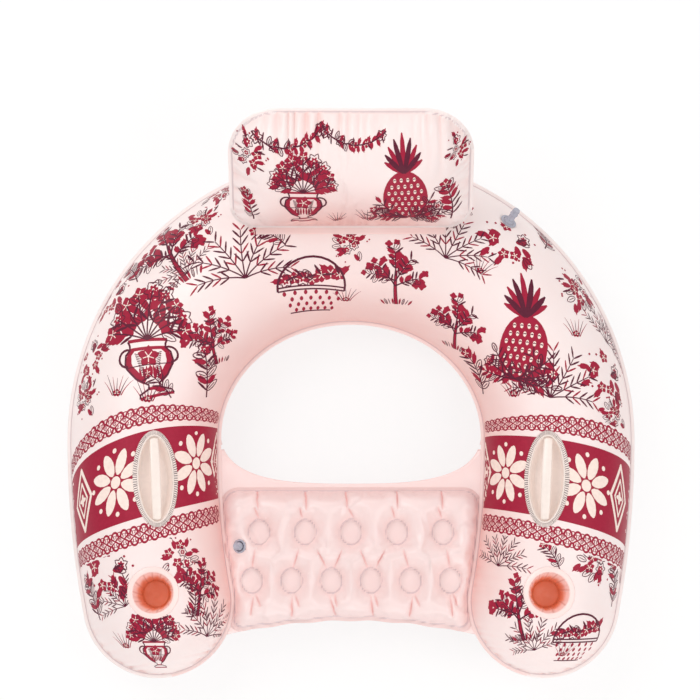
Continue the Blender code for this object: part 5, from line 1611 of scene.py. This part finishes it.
# each motif's drawing, its seed, and its spots: plan place, size and lean
ringMotifs = (
    (drawUrn, 11, ((-0.374, 0.112, 1.22, 0.04), (-0.359, -0.440, 0.80, 0.0))),
    (drawPineapple, 12, ((0.318, 0.122, 1.42, -0.12),)),
    (drawTree, 13, ((-0.340, 0.292, 1.10, 0.5), (0.083, 0.240, 0.85, 0.0), (0.196, 0.150, 0.80, -0.2))),
    (drawTree, 23, ((-0.256, 0.125, 0.75, 0.2), (0.303, -0.370, 0.85, 0.1), (-0.275, -0.330, 0.70, -0.1))),
    (drawBasket, 14, ((-0.071, 0.215, 1.20, 0.0), (0.415, -0.435, 1.05, 0.0))),
    (drawBush, 15, ((-0.445, 0.205, 1.10, 0.0), (-0.484, 0.085, 0.95, 1.2), (0.290, 0.300, 1.20, 0.0),
                    (0.470, 0.055, 1.15, 0.0), (-0.448, -0.305, 1.20, 0.0))),
    (drawBush, 25, ((0.420, 0.215, 1.10, 2.0), (-0.274, 0.338, 0.85, 0.0), (0.002, 0.290, 0.80, 0.0),
                    (0.450, -0.290, 1.00, 1.0), (-0.490, 0.010, 0.85, 0.0), (0.488, -0.020, 0.80, 0.5))),
    (drawPalm, 16, ((-0.194, 0.225, 1.20, 0.2), (0.365, 0.005, 1.10, -0.2), (0.172, 0.262, 1.00, -0.5),
                    (-0.265, -0.430, 0.90, 0.0), (0.335, -0.455, 0.80, 0.2))),
    (drawTree, 33, ((-0.150, 0.405, 0.85, 0.1), (0.185, 0.375, 0.70, -0.3))),
    (drawBasket, 34, ((0.020, 0.400, 0.95, 0.0),)),
    (drawBush, 35, ((-0.312, -0.282, 0.85, 0.3), (-0.060, 0.430, 0.80, 0.0), (0.105, 0.430, 0.85, 0.6),
                    (-0.240, 0.400, 0.85, 0.0), (-0.020, 0.345, 0.70, 1.4))),
    (drawPalm, 26, ((-0.410, -0.375, 0.70, 0.5), (-0.300, 0.235, 0.70, 0.8), (0.475, 0.115, 0.80, -0.6),
                    (0.270, -0.300, 0.75, -0.3))),
    (drawSprig, 17, ((-0.268, 0.010, 1.30, 0.1), (-0.460, -0.400, 1.10, 0.3), (0.480, -0.375, 1.10, -0.2),
                     (0.360, 0.290, 1.10, -0.6), (-0.395, 0.225, 1.00, 0.5))),
    (drawSprig, 27, ((0.246, 0.020, 1.20, -0.2), (-0.292, -0.400, 0.90, -0.3), (0.380, -0.310, 0.80, 0.3),
                     (0.500, 0.150, 1.00, -0.3), (-0.120, 0.285, 0.90, 0.8), (-0.330, 0.005, 0.90, 0.6))),
    (drawTuft, 18, ((-0.430, 0.010, 1.20, 0.0), (-0.372, 0.000, 1.20, 0.0), (0.300, 0.010, 1.20, 0.0),
                    (0.415, 0.120, 1.10, 0.0), (-0.010, 0.190, 1.00, 0.0), (-0.410, -0.450, 1.10, 0.0),
                    (0.385, -0.465, 1.00, 0.0), (0.500, -0.330, 1.00, 0.0), (0.235, 0.235, 1.00, -0.4))),
)
printRing()


def atHeadrest(x, up, size, lean):
    def mapping(flat, lift):
        flat = complex(x, up) + flat * size * np.exp(1j * lean)
        spots = []
        for point, over in zip(flat, lift):
            near, _, index, _ = pillowFlat.find_nearest((point.real, point.imag, 0))
            corners = pillowCells[index]
            onFlat = [Vector((*pillowFlatPoints[i], 0)) for i in corners]
            spot = barycentric_transform(near, *onFlat, *[pillowPoints[i] for i in corners])
            spots.append(spot + pillowNormals[index] * (over + 0.00015))
        return spots
    return mapping


def headrestPrint():
    shape = bmesh.new()
    for draw, seed, spots in headrestMotifs:
        motif = flatMotif(draw, seed, longest=0.0035)
        for spot in spots:
            lay(shape, motif, atHeadrest(*spot))
    finishPrint("headrestPrint", shape, "headrest", headrestFrame.to_3x3() @ Vector((0, -1, 0)))


headrestMotifs = (
    (drawUrn, 31, ((-0.085, 0.116, 0.88, 0.0),)),
    (drawPineapple, 32, ((0.095, 0.128, 1.22, 0.06),)),
    (drawGarland, 33, ((-0.110, 0.208, 1.10, 0.12), (0.005, 0.212, 0.95, -0.05))),
    (drawBush, 34, ((-0.180, 0.180, 0.75, 0.0), (0.190, 0.185, 0.55, 0.0))),
    (drawSprig, 35, ((0.180, 0.046, 1.15, -0.1), (-0.176, 0.044, 0.85, 0.0))),
    (drawTuft, 36, ((0.030, 0.036, 1.0, 0.0), (0.145, 0.034, 1.0, 0.0), (-0.025, 0.036, 0.8, 0.0))),
)
pillowFlatPoints = np.stack((headrestFlatX, headrestFlatUp), 1)
pillowPoints = [point.co.copy() for point in headrestFront.data.vertices]
pillowCells, pillowNormals = [], []
for cell in headrestFront.data.polygons:
    corners = list(cell.vertices)
    for i in range(1, len(corners) - 1):
        pillowCells.append((corners[0], corners[i], corners[i + 1]))
        pillowNormals.append(cell.normal.copy())
pillowFlat = BVHTree.FromPolygons([(*point, 0) for point in pillowFlatPoints], pillowCells)
headrestPrint()


# Stage

stage = {
    "aim": (-0.0019, 0.1060, 0.118),
    "azimuth": 0.0, "elevation": 83.5, "distance": 5.0,
    "pixel": 0.00188, "photoWidth": 700,    # a photograph's pixel at the aim, and how many it is wide
    "sensor": 36.0, "clip": (0.05, 50),
    "floorHalf": 7.0, "floorDrop": 0.0005, "paper": "#FAFAFA", "paperGlow": 0.75,
    "sky": 0.72, "lampColour": "#FFF7F4", "lampAim": (0, 0, 0.1),
    # each lamp's place, width and watts
    "lamps": {"keyLamp": ((-1.5, 0.9, 2.7), 1.7, 23), "fillLamp": ((1.9, -0.6, 2.6), 2.2, 16),
              "backLamp": ((-0.3, 2.4, 2.2), 1.8, 12), "frontLamp": ((0.3, -2.6, 1.5), 1.8, 15)},
}


def setCamera():
    lens = bpy.data.cameras.new("camera")
    camera = bpy.data.objects.new("camera", lens)
    scene.collection.objects.link(camera)
    lens.sensor_width = stage["sensor"]
    lens.lens = stage["sensor"] * stage["distance"] / (stage["photoWidth"] * stage["pixel"])
    lens.clip_start, lens.clip_end = stage["clip"]
    turn, rise = math.radians(stage["azimuth"]), math.radians(stage["elevation"])
    back = Vector((math.sin(turn) * math.cos(rise), -math.cos(turn) * math.cos(rise), math.sin(rise)))
    camera.location = Vector(stage["aim"]) + back * stage["distance"]
    camera.rotation_euler = (-back).to_track_quat("-Z", "Y").to_euler()
    scene.camera = camera


def setStage():
    shape = bmesh.new()
    bmesh.ops.create_grid(shape, x_segments=1, y_segments=1, size=stage["floorHalf"])
    # matt paper with a white studio sweep's glow towards the camera, which keeps the chair's shadow
    paper, shader = newMaterial("matt white paper")
    feed(paper, shader, {"Base Color": colour(stage["paper"]), "Roughness": 0.9})
    rays = addNode(paper, "LightPath", {}, {})
    share = addNode(paper, "Math", {"operation": "MULTIPLY"}, {
        0: rays.outputs["Is Camera Ray"], 1: stage["paperGlow"]})
    glow = addNode(paper, "Emission", {}, {"Strength": 1.0})
    mixed = addNode(paper, "MixShader", {}, {
        0: share.outputs[0], 1: shader.outputs[0], 2: glow.outputs[0]})
    feed(paper, paper.node_tree.nodes["Material Output"], {"Surface": mixed.outputs[0]})
    floor = addPiece("floor", shape, (paper,), None)
    floor.location.z = -stage["floorDrop"]
    world = bpy.data.worlds.new("studio")
    scene.world = world
    world.use_nodes = True
    feed(world, world.node_tree.nodes["Background"], {"Color": colour("#FFFFFF"), "Strength": stage["sky"]})
    for name, (place, size, power) in stage["lamps"].items():
        lamp = bpy.data.lights.new(name, "AREA")
        lamp.shape = "DISK"
        lamp.size = size
        lamp.energy = power
        lamp.color = colour(stage["lampColour"])[:3]
        light = bpy.data.objects.new(name, lamp)
        light.location = place
        light.rotation_euler = (Vector(stage["lampAim"]) - Vector(place)).to_track_quat("-Z", "Y").to_euler()
        scene.collection.objects.link(light)
    scene.view_settings.view_transform = "Standard"


setCamera()
setStage()
print("camera and lights set")
